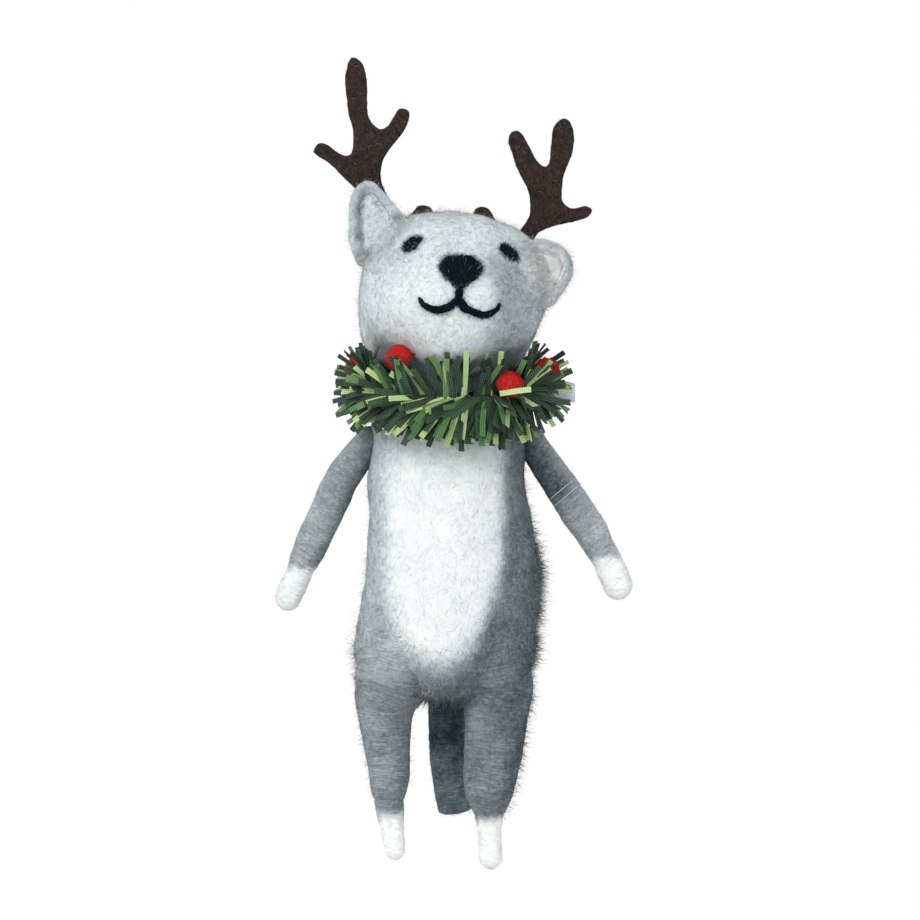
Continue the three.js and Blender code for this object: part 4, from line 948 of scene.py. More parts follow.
def plastic_strip(name):
    """Cut plastic strip: dark, middle or yellow green by its tone, embossed with rows of dots that
    carry painted highlights.
    """
    shader = Shader(bpy.data.materials.new(name))
    stops = [
        (0, paint(3, 22, 20)), (0.35, paint(16, 52, 36)), (0.65, paint(70, 118, 58)),
        (1, paint(184, 206, 138)),
    ]
    colour = shader.node("ShaderNodeValToRGB", {"stops": stops}, {"Fac": shader.attribute("tone")})
    place = shader.node("ShaderNodeUVMap", {"uv_map": "strip"})
    across, along = (shader.node("ShaderNodeSeparateXYZ", None, {0: place}, axis) for axis in (0, 1))
    rising = ((across + along) * (TURN * 1.5)).math("SINE")
    falling = ((across - along) * (TURN * 1.5)).math("SINE")
    dots = (rising * falling * 0.5 + 0.5).math("POWER", 2.5)
    cloud = shader.noise(shader.place(), 500, 3)
    tone = shader.attribute("tone")
    # painted highlights: the embossed dots lightened and mixed toward pale green, most on lighter
    # strips
    colour = shader.scaled(colour, 0.38 + cloud * 0.4 + tone * 0.3 + dots * tone * 0.8)
    colour = shader.mix(dots * (tone * 0.14 + 0.24), colour, paint(176, 208, 172))
    return shader.finish(
        Base_Color=colour, Roughness=0.5 - dots * 0.1, Specular_IOR_Level=0.2,
        Normal=shader.bump(dots, 0.05 * MM, 0.6),
    )


def satin(name):
    """Blank ribbon: pale blue-white, fine ribs across, a little see-through."""
    shader = Shader(bpy.data.materials.new(name))
    place = shader.place()
    ribs = shader.noise(shader.stretched(place, (300, 300, 9000)), 1, 2)
    cloud = shader.noise(place, 300, 2)
    colour = shader.mix(cloud, paint(205, 216, 232), paint(232, 238, 246))
    return shader.finish(
        Base_Color=shader.scaled(colour, 0.9 + ribs * 0.16), Roughness=0.38 + ribs * 0.1, Alpha=0.85,
        Normal=shader.bump(ribs, 0.03 * MM, 0.5),
    )


def spun_thread(name):
    """White sewing thread with its twist."""
    shader = Shader(bpy.data.materials.new(name))
    twist = shader.noise(shader.stretched(shader.place(), (3000, 3000, 9000)), 1, 2)
    colour = shader.mix(twist, paint(168, 166, 176), paint(226, 222, 230))
    return shader.finish(
        Base_Color=colour, Roughness=0.4, Normal=shader.bump(twist, 0.04 * MM, 0.6),
    )


def drawn_wire(name):
    """Bare steel wire with drawing marks."""
    shader = Shader(bpy.data.materials.new(name))
    marks = shader.noise(shader.place(), 4200, 3)
    colour = shader.mix(marks, paint(120, 120, 124), paint(178, 178, 182))
    return shader.finish(
        Base_Color=colour, Metallic=1.0, Roughness=0.3 + marks * 0.2,
        Normal=shader.bump(marks, 0.02 * MM, 0.4),
    )


grey_wool = wool("grey_wool")
wound_wool = wool("wound_wool", wound=True)
loose_fibre = wool_fibre("loose_fibre")
black_felt = dyed_felt(
    "black_wool", paint(1, 6, 14), paint(8, 15, 27), paint(46, 58, 72), 900, 0.2 * MM, 0.4,
)
black_fibre = tinted_fibre("black_fibre", paint(1, 5, 12), paint(58, 72, 88))
brown_felt = dyed_felt(
    "brown_felt", paint(24, 17, 18), paint(52, 40, 37), paint(112, 96, 90), 900, 0.2 * MM, 0.35,
)
brown_fibre = tinted_fibre("brown_fibre", paint(26, 19, 18), paint(150, 138, 132))
red_felt = dyed_felt(
    "red_felt", paint(142, 10, 14), paint(196, 24, 26), paint(234, 92, 84), 1100, 0.2 * MM, 0.45,
)
red_fibre = tinted_fibre("red_fibre", paint(142, 12, 14), paint(236, 92, 84))
green_strip = plastic_strip("green_strip")
# The core is darker than the darkest strip: partly its own dark green, partly painted shade in the
# gaps between the strips.
shaded_core_strip = dyed_felt(
    "shaded_core_strip", paint(6, 14, 12), paint(14, 28, 21), paint(30, 52, 36), 900, 0.2 * MM, 0.4,
)
pale_satin = satin("pale_satin")
white_thread = spun_thread("white_thread")
steel_wire = drawn_wire("steel_wire")


# Where the frame holds things

pivots = {joint["name"]: np.array(joint["pos_m"]) for joint in frame["joints"]}
wreath_axis = next(np.array(j["axis"]) for j in frame["joints"] if j["name"] == "wreath_turn")


def box_of(node):
    """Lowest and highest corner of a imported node."""
    low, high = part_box(node)
    return np.array(low), np.array(high)


def centre_of(node):
    """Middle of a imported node's box."""
    low, high = box_of(node)
    return (low + high) / 2


# Head surface

HEAD_MATRIX = rotation("y", HEAD_ROLL) @ rotation("x", -HEAD_PITCH)
SNOUT_DIRECTION = np.array([0, -math.cos(SNOUT_DROOP), -math.sin(SNOUT_DROOP)])


def oval_reach(direction):
    """Distance from the head's centre to the rounded oval with its snout hump, along unit
    directions: the oval is where the sum of the axis shares to the squareness is 1, and the hump
    falls off with the square of the angle from the snout."""
    local = direction @ HEAD_MATRIX
    shares = np.abs(local / (HEAD_SIZE / 2)) ** HEAD_SQUARENESS
    angle = np.arccos(np.clip(local @ SNOUT_DIRECTION, -1, 1)) / SNOUT_SPREAD
    return shares.sum(-1) ** (-1 / HEAD_SQUARENESS) + SNOUT_LENGTH * np.exp(-angle**2)


HEAD_CENTRE = np.array([0, 0, -oval_reach(RISE)])


def head_reach(direction):
    """The oval joined to the muzzle ball by a smooth maximum, which leaves a soft crease where they
    meet. Then come bumps for whisker pads, chin and left jaw, and hollows at eyes, nose, right jaw
    and crown: each is its height times e to the minus square of the angle from it over its spread."""
    oval = oval_reach(direction)
    centre = MUZZLE_CENTRE - HEAD_CENTRE
    toward = direction @ centre
    inside = toward**2 - centre @ centre + MUZZLE_RADIUS**2
    ball = np.where(inside > 0, toward + np.sqrt(np.maximum(inside, 0)), 0)
    joined = (oval + ball + np.sqrt((oval - ball) ** 2 + MUZZLE_CREASE**2)) / 2
    for across, back, up, height, spread in FACE_BUMPS:
        aim = unit(np.array([across, back, up]) * MM - HEAD_CENTRE)
        angle = np.arccos(np.clip(direction @ aim, -1, 1)) / spread
        joined = joined + height * MM * np.exp(-angle**2)
    return joined


def face_points(across, up):
    """Points of the head's front at places across and up: the depth is worked out again and again
    from the reach along the last direction."""
    depth = np.full(np.shape(across), FACE_DEPTH_GUESS)
    from_middle = np.stack([across - HEAD_CENTRE[0], up - HEAD_CENTRE[2]])
    for _ in range(FACE_DEPTH_TRIES):
        reach = head_reach(unit(np.stack([from_middle[0], depth, from_middle[1]], -1)))
        fresh = -np.sqrt(np.maximum(reach**2 - from_middle[0] ** 2 - from_middle[1] ** 2, 0))
        depth = 0.4 * depth + 0.6 * fresh
    return np.stack([across, depth + HEAD_CENTRE[1], up], -1)


def face_normals(across, up):
    """Unit normals of the head's front, from points a little to each side."""
    step = 0.05 * MM
    right = face_points(across + step, up) - face_points(across - step, up)
    rise = face_points(across, up + step) - face_points(across, up - step)
    return unit(np.cross(right, rise))


def head_white(points):
    """Share of white wool on the head: greyer on the right cheek and the back, lighter at both
    sides as painted light against their shade, and paler in oval patches on the muzzle, the left
    cheek, the brow and beside the right ear. Noise breaks up the borders."""
    ragged = points + 0.9 * MM * lattice_noise(points, 2 * MM, 17)[..., None]
    x, y, z = np.moveaxis(ragged, -1, 0) / MM
    front = ease(2, -9, y)
    behind = ease(2, 14, y)
    right_cheek = ease(5, 12, x) * ease(-6, -12, z)
    # painted light: both sides of the head made paler against the shade where they turn away
    sides = 0.1 * ease(-17, -21.5, x) + 0.12 * ease(13, 19, x)
    white = 0.58 - 0.1 * behind - 0.24 * right_cheek + sides
    for across, up, half_width, half_height, outer, inner, added in HEAD_PATCHES:
        share = np.hypot((x - across) / half_width, (z - up) / half_height)
        white = white + added * ease(outer, inner, share) * front
    return np.clip(white, 0, 1)


def head_grid(rows, columns):
    """Head surface by height and turn angles, from under the chin to the crown."""
    direction = ball_directions(rows, columns, -TURN / 4)
    grid = HEAD_CENTRE + direction * head_reach(direction)[..., None]
    return grid + direction * lumps(grid, *LUMPS["head"])[..., None]


# Torso surface

CHIN_Z = HEAD_CENTRE[2] - oval_reach(-RISE)
SEAT_Z = pivots["wreath_turn"][2] - WREATH_SEAT
SEAT_HALF_WIDTH = WREATH_RADIUS - WREATH_SEAT


def torso_profile(count):
    """Evenly spaced rows of height, sideways shift, half width and half depth down the torso, from
    the neck inside the head to the seat, on one smooth curve."""
    neck = [
        [CHIN_Z + NECK_INSET, 0, NECK_RADIUS, NECK_RADIUS],
        [SEAT_Z + NECK_FOOT, 0, NECK_RADIUS, NECK_RADIUS],
        [SEAT_Z, 0, SEAT_HALF_WIDTH, TORSO_HALF_DEPTH * SEAT_DEPTH_SHARE],
    ]
    down, shift, width, depth = TORSO_SHARES.T
    body = np.stack([
        SEAT_Z - TORSO_LENGTH * down, TORSO_HALF_WIDTH * shift,
        TORSO_HALF_WIDTH * width, TORSO_HALF_DEPTH * depth,
    ], -1)
    rows = smooth_path(np.vstack([neck, body]), count)
    rows[:, 2:] = np.maximum(rows[:, 2:], 0.02 * MM)
    return rows


TORSO_ROWS = torso_profile(400)
TORSO_CLIMB = TORSO_ROWS[np.argsort(TORSO_ROWS[:, 0])].T


def torso_section(height):
    """Shift, half width and half depth of the torso at a height."""
    return [np.interp(height, TORSO_CLIMB[0], values) for values in TORSO_CLIMB[1:]]


def torso_grid(rows, columns):
    """Torso surface: an oval at each row of the profile, roughened by lumps."""
    height, shift, width, depth = torso_profile(rows).T[..., None]
    turn = angles_round(columns)
    grid = np.stack([shift + width * np.sin(turn), -depth * np.cos(turn), height + 0 * turn], -1)
    return grid + grid_normals(grid) * lumps(grid, *LUMPS["torso"])[..., None]


# Belly patch

belly_low, belly_high = box_of("belly_patch")
BELLY_MIDDLE = ((belly_low + belly_high) / 2)[[0, 2]]


def belly_outline(count):
    """The patch's outline in the front view, from its middle, as a smooth closed curve."""
    size = (belly_high - belly_low)[[0, 2]]
    shares = np.array(BELLY_SHARES) * [1, -1] + [0, 0.5]
    return smooth_path(shares * size, count, closed=True)


BELLY_EDGE = belly_outline(360)
BELLY_ANGLES = np.arctan2(BELLY_EDGE[:, 1], BELLY_EDGE[:, 0])
BELLY_REACHES = np.hypot(*BELLY_EDGE.T)


def belly_share(across, up):
    """How far a front-view place lies from the patch's middle, as a share of the way to its edge."""
    x, z = across - BELLY_MIDDLE[0], up - BELLY_MIDDLE[1]
    reach = np.interp(np.arctan2(z, x), BELLY_ANGLES, BELLY_REACHES, period=TURN)
    return np.hypot(x, z) / reach


def torso_front(across, up):
    """Depth of the torso's front at a front-view place: minus its half depth times the root of one
    less the square of the share across."""
    shift, width, depth = torso_section(up)
    return -depth * np.sqrt(np.maximum(1 - ((across - shift) / width) ** 2, 0.02))


def belly_grid(rings, columns):
    """The patch from its middle to its edge in front and back again inside the torso. It stands
    proud by its thickness times one less the share squared, to the power 1.3, less a dip by the
    share to the fourth that sinks its edge."""
    share = np.linspace(0.02, 1, rings)
    edge = smooth_path(BELLY_EDGE, columns, closed=True)
    shares = np.r_[share, share[::-1]][:, None]
    in_front = (np.arange(2 * rings) < rings)[:, None]
    x = BELLY_MIDDLE[0] + shares * edge[None, :, 0]
    z = BELLY_MIDDLE[1] + shares * edge[None, :, 1]
    rough = lumps(np.stack([x, 0 * x, z], -1), *LUMPS["belly"])
    proud = (BELLY_THICKNESS + rough) * (1 - shares**2) ** 1.3 - BELLY_EDGE_DIP * shares**4
    return np.stack([x, torso_front(x, z) - np.where(in_front, proud, -BELLY_BACK), z], -1)


def torso_white(points):
    """Share of white wool on the torso: white inside the patch's edge, which noise breaks up,
    greyer at the patch's top as painted shade under the wreath, light grey down its left flank and
    darker grey on its right, at the crotch and behind."""
    ragged = points + 0.5 * MM * lattice_noise(points, 1.7 * MM, 37)[..., None]
    x, y, z = np.moveaxis(ragged, -1, 0)
    share = belly_share(x, z)
    front = ease(5 * MM, -3 * MM, y)
    left = ease(2 * MM, -9 * MM, x - BELLY_MIDDLE[0])
    upper = ease(-118 * MM, -80 * MM, z)
    cloud = lattice_noise(points, 6 * MM, 39)
    grey = 0.06 + 0.06 * cloud + (0.22 + 0.18 * upper) * left * ease(12 * MM, 0, y)
    white = ease(1.16, 0.84, share) * front
    # painted shade: the patch greyer at its top, under the wreath
    top = ease(-66 * MM, -50 * MM, z)
    pale = 0.845 - 0.235 * top + 0.05 * lattice_noise(points, 2.6 * MM, 43)
    return np.clip(grey + (pale - grey) * white, -0.1, 1)


# Limbs


def limb_path(place, spine, start, count):
    """Points down a limb whose spine is measured from its joint, from a start behind the joint."""
    return place + smooth_path(np.vstack([start, spine]), count)


def limb_skin(path, radii, columns, reference, seed, ridges, first=1.0, last=1.0, depth=1.0):
    """A limb's wound surface and its lay: rings with rounded ends, swollen by slow lumps and by
    ridges that run round. Lay is the ring angle's cosine and sine and the way along."""
    run = run_along(path)
    grid = tube_grid(path, round_ends(path, radii, first, last), columns, reference, depth)
    angle = angles_round(columns)
    lay = np.stack([
        np.cos(angle) + 0 * run[:, None], np.sin(angle) + 0 * run[:, None],
        run[:, None] + 0.25 * MM * np.cos(angle),
    ], -1)
    rings = lumps(lay / [1.5, 1.5, 1.0 * MM], seed, (1.0, 0.5), (0.45, 0.4))
    slow = lumps(grid, seed + 7, (4 * MM, 0.2 * MM), (1.5 * MM, 0.07 * MM))
    ends = np.minimum(run, run[-1] - run)[:, None] / radii.mean()
    amount = (ridges * rings + slow) * np.clip(ends, 0, 1)
    return grid + grid_normals(grid) * amount[..., None], lay


def stations_along(run, behind):
    """Distances at which a limb's radii are given, past a stretch behind its joint."""
    return np.array(STATION_SHARES) * (run[-1] - behind) + behind


def arm_parts(side):
    """The arm's path and radii, and the paw's direction."""
    arm = ARMS[side]
    spine = np.array([[arm["side"] * out, 0, -down] for out, down in arm["spine_shares"]]) * ARM_LENGTH
    start = -unit(spine[1]) * SHOULDER_RADIUS
    path = limb_path(pivots[f"shoulder_{side}"], spine, start, 150)
    run = run_along(path)
    stations = np.r_[0, stations_along(run, SHOULDER_RADIUS)]
    station_radii = np.r_[SHOULDER_RADIUS, np.array(arm["radius_shares"]) * ARM_RADIUS]
    radii = smooth_values(stations, station_radii, run)
    out, down = arm["paw_shares"]
    return path, radii, unit(np.array([arm["side"] * out, 0, -down]))


def leg_parts(side):
    """The leg's path and radii, the foot's direction, and how much deeper than wide the leg is at
    each point, which brings its hip out to the torso's skin."""
    leg = LEGS[side]
    spine = np.array([[leg["side"] * out, 0, -down] for out, down in leg["spine_shares"]])
    spine = spine * leg["length"]
    start = np.array([-leg["side"] * HIP_ROOT[0], 0, HIP_ROOT[1]])
    back = np.linalg.norm(start)
    path = limb_path(pivots[f"hip_{side}"], spine, start, 170)
    run = run_along(path)
    stations = np.r_[0, back / 2, stations_along(run, back)]
    shares = np.r_[1, 1.02, leg["hip_share"], leg["radius_shares"][1:]]
    radii = smooth_values(stations, shares * leg["ball"], run) - 0.3 * MM
    depth = 1 + HIP_DEEPER * ease(-119 * MM, -108 * MM, path[:, 2])
    out, down = leg["foot_shares"]
    return path, radii, unit(np.array([leg["side"] * out, 0, -down])), depth


def flowing_from_torso(grid):
    """A leg's skin whose depth is the smooth greater of its own and the torso's, less a little, so
    that it leaves the torso's surface without an edge."""
    shift, width, depth = torso_section(grid[..., 2])
    side = np.abs((grid[..., 0] - shift) / width)
    torso = depth * np.sqrt(np.maximum(1 - side**2, 0)) - 20 * MM * ease(0.85, 1.1, side) - 0.2 * MM
    own = np.abs(grid[..., 1])
    deeper = (smooth_greatest(own, torso, HIP_FILLET) - own) * ease(0, 1.5 * MM, own)
    flowing = grid.copy()
    flowing[..., 1] = np.sign(grid[..., 1]) * (own + deeper)
    return flowing


def bulb_skin(wrist, direction, length, radius, stations, shares, seed):
    """A paw or foot: a round-ended bulb on from a wrist, starting a little inside the sleeve."""
    ahead = np.linspace(-LIMB_INSIDE_BULB, length, 70)
    radii = smooth_values(stations, shares, np.clip(ahead / length, 0, 1)) * radius
    return limb_skin(wrist + direction * ahead[:, None], radii, 64, DEPTH, seed, BULB_RIDGES, 0.5)


# Pieces


def some(count):
    return int(count * FIBRE_SHARE)


def carry(piece, body, cross=None):
    """Makes a piece ride on its body, or bakes its place into its mesh where cross is given."""
    if cross:
        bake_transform(piece)
    else:
        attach(piece, body)


def dress(name, grid, material, body, nodes, slot, fill=None, cross=None, **attributes):
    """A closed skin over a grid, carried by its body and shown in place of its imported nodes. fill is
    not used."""
    piece = shell(name, grid, material, **attributes)
    carry(piece, body, cross)
    if nodes:
        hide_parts(*nodes)


def fuzz(name, body, material, lines, radius, tone, white, facing, cross=None):
    """A piece of fibres carried by a body, or baked in place where cross is given."""
    carry(fibres(name, lines, radius, tone, white, facing, material), body, cross)


def wool_fibres(name, body, lines, facing, by, rng, white_at, white_spread, radii, thick, cross):
    """Loose wool fibres, each as white as the wool at a random place near it."""
    count = len(lines)
    near = by + FIBRE_MIX * rng.standard_normal((count, 3))
    white = np.clip(white_at(near) + rng.normal(*white_spread, count), DARKEST_WOOL, 1)
    radius = rng.uniform(*radii, count) * thick * MM
    fuzz(name, body, loose_fibre, lines, radius, tones(rng, count, white), white, facing, cross)


def lay_wool(name, grid, rng, white_at, amount, weight=None, cross=None, body="figure",
             heading=ALL_WAYS, thick=1.0):
    """Wool fibres laid over a skin, at headings from its columns' direction. thick scales their
    radius."""
    count, shortest, longest, steps = amount
    normals = grid_normals(grid)
    rows, columns = scatter(grid, some(count), rng, weight)
    count = len(rows)
    lines = lying_lines(
        grid, normals, rows, columns, rng, rng.uniform(shortest, longest, count) * MM,
        rng.normal(*heading, count), rng.normal(0, 0.9, count), rng.uniform(0.02, 0.09, count) * MM,
        steps,
    )
    wool_fibres(
        f"{name}_lying_wool", body, lines, unit(on_grid(normals, rows, columns)),
        lines[:, steps // 2], rng, white_at, LYING_WHITE, LYING_RADII, thick, cross,
    )


def raise_fuzz(name, grid, rng, white_at, amount, comb, weight=None, cross=None, body="figure",
               thick=1.0):
    """Wool fibres that stand out of a skin, most of them short, leaning toward comb."""
    count, shortest, longest = amount
    normals = grid_normals(grid)
    rows, columns = scatter(grid, some(count), rng, weight)
    count = len(rows)
    length = (shortest + (longest - shortest) * rng.random(count) ** 2.2) * MM
    lines = standing_lines(
        grid, normals, rows, columns, rng, length, rng.uniform(0.2, 1.35, count), comb,
        3 if longest <= SHORT_FUZZ else 4,
    )
    wool_fibres(
        f"{name}_fuzz", body, lines, unit(on_grid(normals, rows, columns)), lines[:, 0], rng,
        white_at, FUZZ_WHITE, FUZZ_RADII, thick, cross,
    )


def build_head():
    """The head's wool with its coat, whose fuzz is sparse in front, and the ears' root fuzz."""
    grid = head_grid(145, 240)
    white = head_white(grid)
    dress("head_wool", grid, grey_wool, "figure", ["head"], "pale_wool", fill=0.95, white=white)
    normals = grid_normals(grid)
    above_chin = ease(*CHIN_EDGE, grid[..., 2])
    edge_on = 0.3 + np.clip(1 + normals[..., 1] * 1.2, 0, 1)
    crown = 1.2 * ease(-5 * MM, -1 * MM, grid[..., 2])
    lay_wool(
        "head", grid, np.random.default_rng(101), head_white, LYING_WOOL["head"],
        weight=above_chin * (1.3 - white),
    )
    raise_fuzz(
        "head", grid, np.random.default_rng(103), head_white, FUZZ["head"],
        np.array([0.3, -0.1, -0.2]), weight=above_chin * (edge_on + crown),
    )
    raise_fuzz(
        "head_down", grid, np.random.default_rng(107), head_white, FUZZ["head_down"], np.zeros(3),
        weight=above_chin * edge_on,
    )
    for side in EARS:
        foot, axis, _ = ear_axes(side)
        from_foot = np.linalg.norm(grid - foot - 0.25 * axis, axis=-1)
        beside_ear = ease(9 * MM, 5 * MM, from_foot) * (normals[..., 1] < 0.2)
        raise_fuzz(
            f"ear_root_{side}", grid, np.random.default_rng(105), head_white, FUZZ["ear_root"],
            1.5 * unit(axis), weight=beside_ear + HARDLY_ANY,
        )
    stray_hairs(grid, normals)


def stray_hairs(grid, normals):
    """A few long loose white hairs across the face."""
    rng = np.random.default_rng(131)
    front = np.clip(-normals[..., 1] - 0.2, 0, 1) * ease(-36 * MM, -32 * MM, grid[..., 2])
    count = 44
    rows, columns = scatter(grid, count, rng, front)
    lines = lying_lines(
        grid, normals, rows, columns, rng, rng.uniform(5, 11, count) * MM,
        rng.normal(1.2, 0.9, count), rng.normal(0, 0.6, count), rng.uniform(0.3, 0.8, count) * MM, 8,
    )
    facing = unit(on_grid(normals, rows, columns))
    fuzz(
        "face_hairs", "figure", loose_fibre, lines, np.full(count, 0.045 * MM), np.full(count, 1.0),
        np.ones(count), facing,
    )


def ear_axes(side):
    """The ear's foot, the way from foot to tip, and the unit direction across it."""
    foot, tip = np.array(EARS[side]["foot"]) * MM, np.array(EARS[side]["tip"]) * MM
    axis = tip - foot
    return foot, axis, unit(np.array([axis[2], 0, -axis[0]]))


def ear_width(side, ahead, sideways):
    """Half width of an ear on the outer side where sideways is below 0, or on the inner one, at a
    share of the way to its tip, closed there by the root of one less the share to the power 9."""
    ear = EARS[side]
    inner_share = ease(-0.2, 0.2, sideways)
    outer, inner = (np.interp(ahead, ear["ahead"], ear[key]) * MM for key in ("outer", "inner"))
    closed = np.sqrt(1 - np.clip(ahead, 0, EAR_TIP_SHARE) ** 9)
    return (outer + (inner - outer) * inner_share) * closed


def rim_distance(side, ahead, sideways):
    """Distance in from the rim, at a share of the way to the tip and of the half width across: the
    soft least of the distances from the nearer side and from the tip."""
    _, axis, _ = ear_axes(side)
    soft = 0.8 * MM
    from_side = (1 - np.abs(sideways)) * ear_width(side, ahead, sideways)
    from_tip = (1 - ahead) * np.linalg.norm(axis)
    return -soft * np.log(np.exp(-from_side / soft) + np.exp(-from_tip / soft))


def rim_strength(side, sideways):
    """How strong an ear's rim is, from its outer side to its inner one."""
    outer, inner = EARS[side]["edges"]
    return outer + (inner - outer) * ease(-0.3, 0.6, sideways)


def ear_grid(side, layer):
    """A layer of an ear, from its foot in the head to its tip: a leaf cupped toward the front, where
    it has a thick rim with a groove inside it. Its front flows into the face by the smooth least of
    their depths, and its back stays behind that."""
    foot, axis, across = ear_axes(side)
    ear = EARS[side]
    share = np.linspace(EAR_ROOT_SHARE, 1, layer["rows"])[:, None]
    ahead = np.clip(share, 0, EAR_TIP_SHARE)
    turn = angles_round(layer["columns"])
    sideways = np.cos(turn) * layer["width_share"]
    front = np.sin(turn) < 0
    offset = ear_width(side, share, np.cos(turn)) * sideways
    place = foot + share[..., None] * axis * layer["length_share"] + offset[..., None] * across
    hollow = ear["cup"] * (1 - sideways**2) * (1 - ahead)
    thick = layer["thickness"] / 2 * np.sin(turn) * np.sqrt(1 - ahead**4)
    inset = rim_distance(side, ahead * layer["length_share"], sideways)
    rim = EAR_RIM_HEIGHT * np.sin(math.pi * np.clip(inset / EAR_RIM, 0, 1))
    groove = EAR_GROOVE_DEPTH * np.exp(-((inset - EAR_RIM - 0.3 * MM) / (0.55 * MM)) ** 2)
    relief = np.where(front, groove - rim, 0) * rim_strength(side, sideways) * ease(-0.05, 0.3, share)
    sunk = ear["sink"] * ease(0.18, -0.24, share)
    tucked = ear["tuck"] * ease(0.2, 0.9, sideways) * ease(0.55, 0.15, share)
    place = place + (hollow + thick + relief + sunk + tucked - layer["forward"])[..., None] * DEPTH
    place = place + grid_normals(place) * lumps(place, *LUMPS["ear"])[..., None]
    face = face_points(place[..., 0], place[..., 2])[..., 1] + layer["off_face"]
    flowing = -smooth_greatest(-place[..., 1], -face, EAR_FILLET)
    place[..., 1] = np.where(front, flowing, np.maximum(place[..., 1], flowing + 0.2 * MM))
    return place


def ear_white(side):
    """Share of white wool on an ear as a function of place: grey on the rim, darker in the groove
    as painted shade, and pale inside, passing into the face's own wool near the foot."""
    foot, axis, across = ear_axes(side)
    ear = EARS[side]

    def white_at(points):
        ahead = (points - foot) @ axis / (axis @ axis)
        offset = (points - foot) @ across
        sideways = offset / np.maximum(ear_width(side, ahead, offset / (6 * MM)), 0.3 * MM)
        inset = rim_distance(side, np.clip(ahead, 0, 1), sideways)
        inset = inset + 0.4 * MM * lattice_noise(points, 1.2 * MM, 73)
        front = ease(3.2 * MM, 0.5 * MM, points[..., 1] - foot[1] - ahead * axis[1])
        inner = ease(0.35 * EAR_RIM, EAR_RIM + 1 * MM, inset) * front
        # painted shade: the groove inside the rim darkened
        groove = np.exp(-((inset - EAR_RIM + 0.3 * MM) / (1 * MM)) ** 2) * front
        groove = groove * rim_strength(side, sideways)
        own = ear["rim_white"] + (ear["inside_white"] - ear["rim_white"]) * inner
        own = own + (ear["shaded_groove_white"] - ear["rim_white"]) * groove
        at_face = ease(ear["join"][1], ear["join"][0], ahead) * ease(1, 0.6, np.abs(sideways))
        at_crown = ease(ear["inner_fade"][1], ear["inner_fade"][0], ahead) * ease(0.2, 0.8, sideways)
        at_face = np.maximum(at_face, at_crown)
        return own + (head_white(points) - own) * at_face

    return white_at


def build_ears():
    """Both ears and their linings, each with its coat."""
    for side in EARS:
        white_at = ear_white(side)
        _, axis, _ = ear_axes(side)
        for kind, layer in EAR_LAYERS.items():
            name = f"{kind}_{side}"
            grid = ear_grid(side, layer)
            white = white_at(grid)
            dress(f"{name}_wool", grid, grey_wool, "figure", [name], layer["slot"], white=white)
            rng = np.random.default_rng(layer["seed"])
            lay_wool(name, grid, rng, white_at, LYING_WOOL[kind])
            comb = unit(axis) - layer["combed_forward"] * DEPTH
            raise_fuzz(name, grid, rng, white_at, FUZZ[kind], comb)


def face_patch(name, outline, middle, thickness, node):
    """A black felted cap on the face: rings from its middle to its outline, raised by thickness
    times the square root of one less the share cubed, and closed under the skin."""
    rings = 16
    share = np.linspace(0.03, 1, rings)
    shares = np.r_[share, share[::-1]][:, None]
    edge = np.concatenate([outline, 0 * outline[:, :1]], -1)
    outline = outline + lumps(edge, *LUMPS["cap_outline"])[:, None] * unit(outline - middle)
    flat = middle + shares[..., None] * (outline - middle)
    points = face_points(flat[..., 0], flat[..., 1])
    normals = face_normals(flat[..., 0], flat[..., 1])
    in_front = (np.arange(2 * rings) < rings)[:, None]
    dome = thickness * np.sqrt(np.maximum(1 - shares**3, 0)) - 0.06 * MM
    rough = lumps(points, *LUMPS["face_cap"]) * (1 - shares**6)
    grid = points + normals * np.where(in_front, dome + rough, -0.6 * MM)[..., None]
    dress(name, grid, black_felt, "figure", [node], "black_wool")
    return grid[:rings]


def black_fuzz(name, grid, count, seed, at_edge=4):
    """Short black fibres, gathered at a cap's edge by a power of the way out to it."""
    rng = np.random.default_rng(seed)
    normals = unit(grid - HEAD_CENTRE)
    way_out = np.linspace(0.1, 1, grid.shape[0])[:, None] + 0 * grid[..., 0]
    rows, columns = scatter(grid, some(count), rng, way_out**at_edge)
    count = len(rows)
    length = (0.3 + 1.1 * rng.random(count) ** 2) * MM
    lean = rng.uniform(1.15, 1.6, count)
    lines = standing_lines(grid, normals, rows, columns, rng, length, lean)
    lines = lines + 0.12 * MM * unit(lines[:, :1] - HEAD_CENTRE)
    tone = rng.uniform(0, 1, count) ** 2 * 1.6
    radius = rng.uniform(0.025, 0.045, count) * MM
    facing = unit(on_grid(normals, rows, columns))
    fuzz(name, "figure", black_fibre, lines, radius, tone, np.zeros(count), facing)


def pale_crossing(name, outline, middle, count, seed):
    """Pale hairs of the face that cross the edge of a black cap, from outside it to inside."""
    rng = np.random.default_rng(seed)
    pick = rng.integers(0, len(outline), count)
    start, finish = rng.uniform(1.1, 1.35, (count, 1, 1)), rng.uniform(0.55, 0.95, (count, 1, 1))
    share = np.linspace(0, 1, 5)[None, :, None]
    spoke = (outline - middle)[pick][:, None]
    aside = spoke[..., ::-1] * [1, -1] * rng.normal(0, 0.35, (count, 1, 1)) * share
    flat = middle + spoke * (start + (finish - start) * share) + aside
    rise = 0.1 + 0.3 * rng.random((count, 1)) * np.sin(math.pi * share[..., 0]) + 0.45 * share[..., 0]
    normals = face_normals(flat[..., 0], flat[..., 1])
    lines = face_points(flat[..., 0], flat[..., 1]) + normals * rise[..., None] * MM
    fuzz(
        name, "figure", loose_fibre, lines, rng.uniform(0.012, 0.02, count) * MM, np.full(count, 1.0),
        rng.uniform(0.3, 0.9, count), normals[:, 2],
    )


def eye_outline(side, middle):
    """An ellipse about the eye's middle, slanted."""
    turn = angles_round(48)
    long, wide = EYE_LENGTH / 2 * np.cos(turn), EYE_WIDTH / 2 * np.sin(turn)
    cosine, sine = math.cos(EYE_SLANTS[side]), math.sin(EYE_SLANTS[side])
    return middle + np.stack([cosine * long - sine * wide, sine * long + cosine * wide], -1)


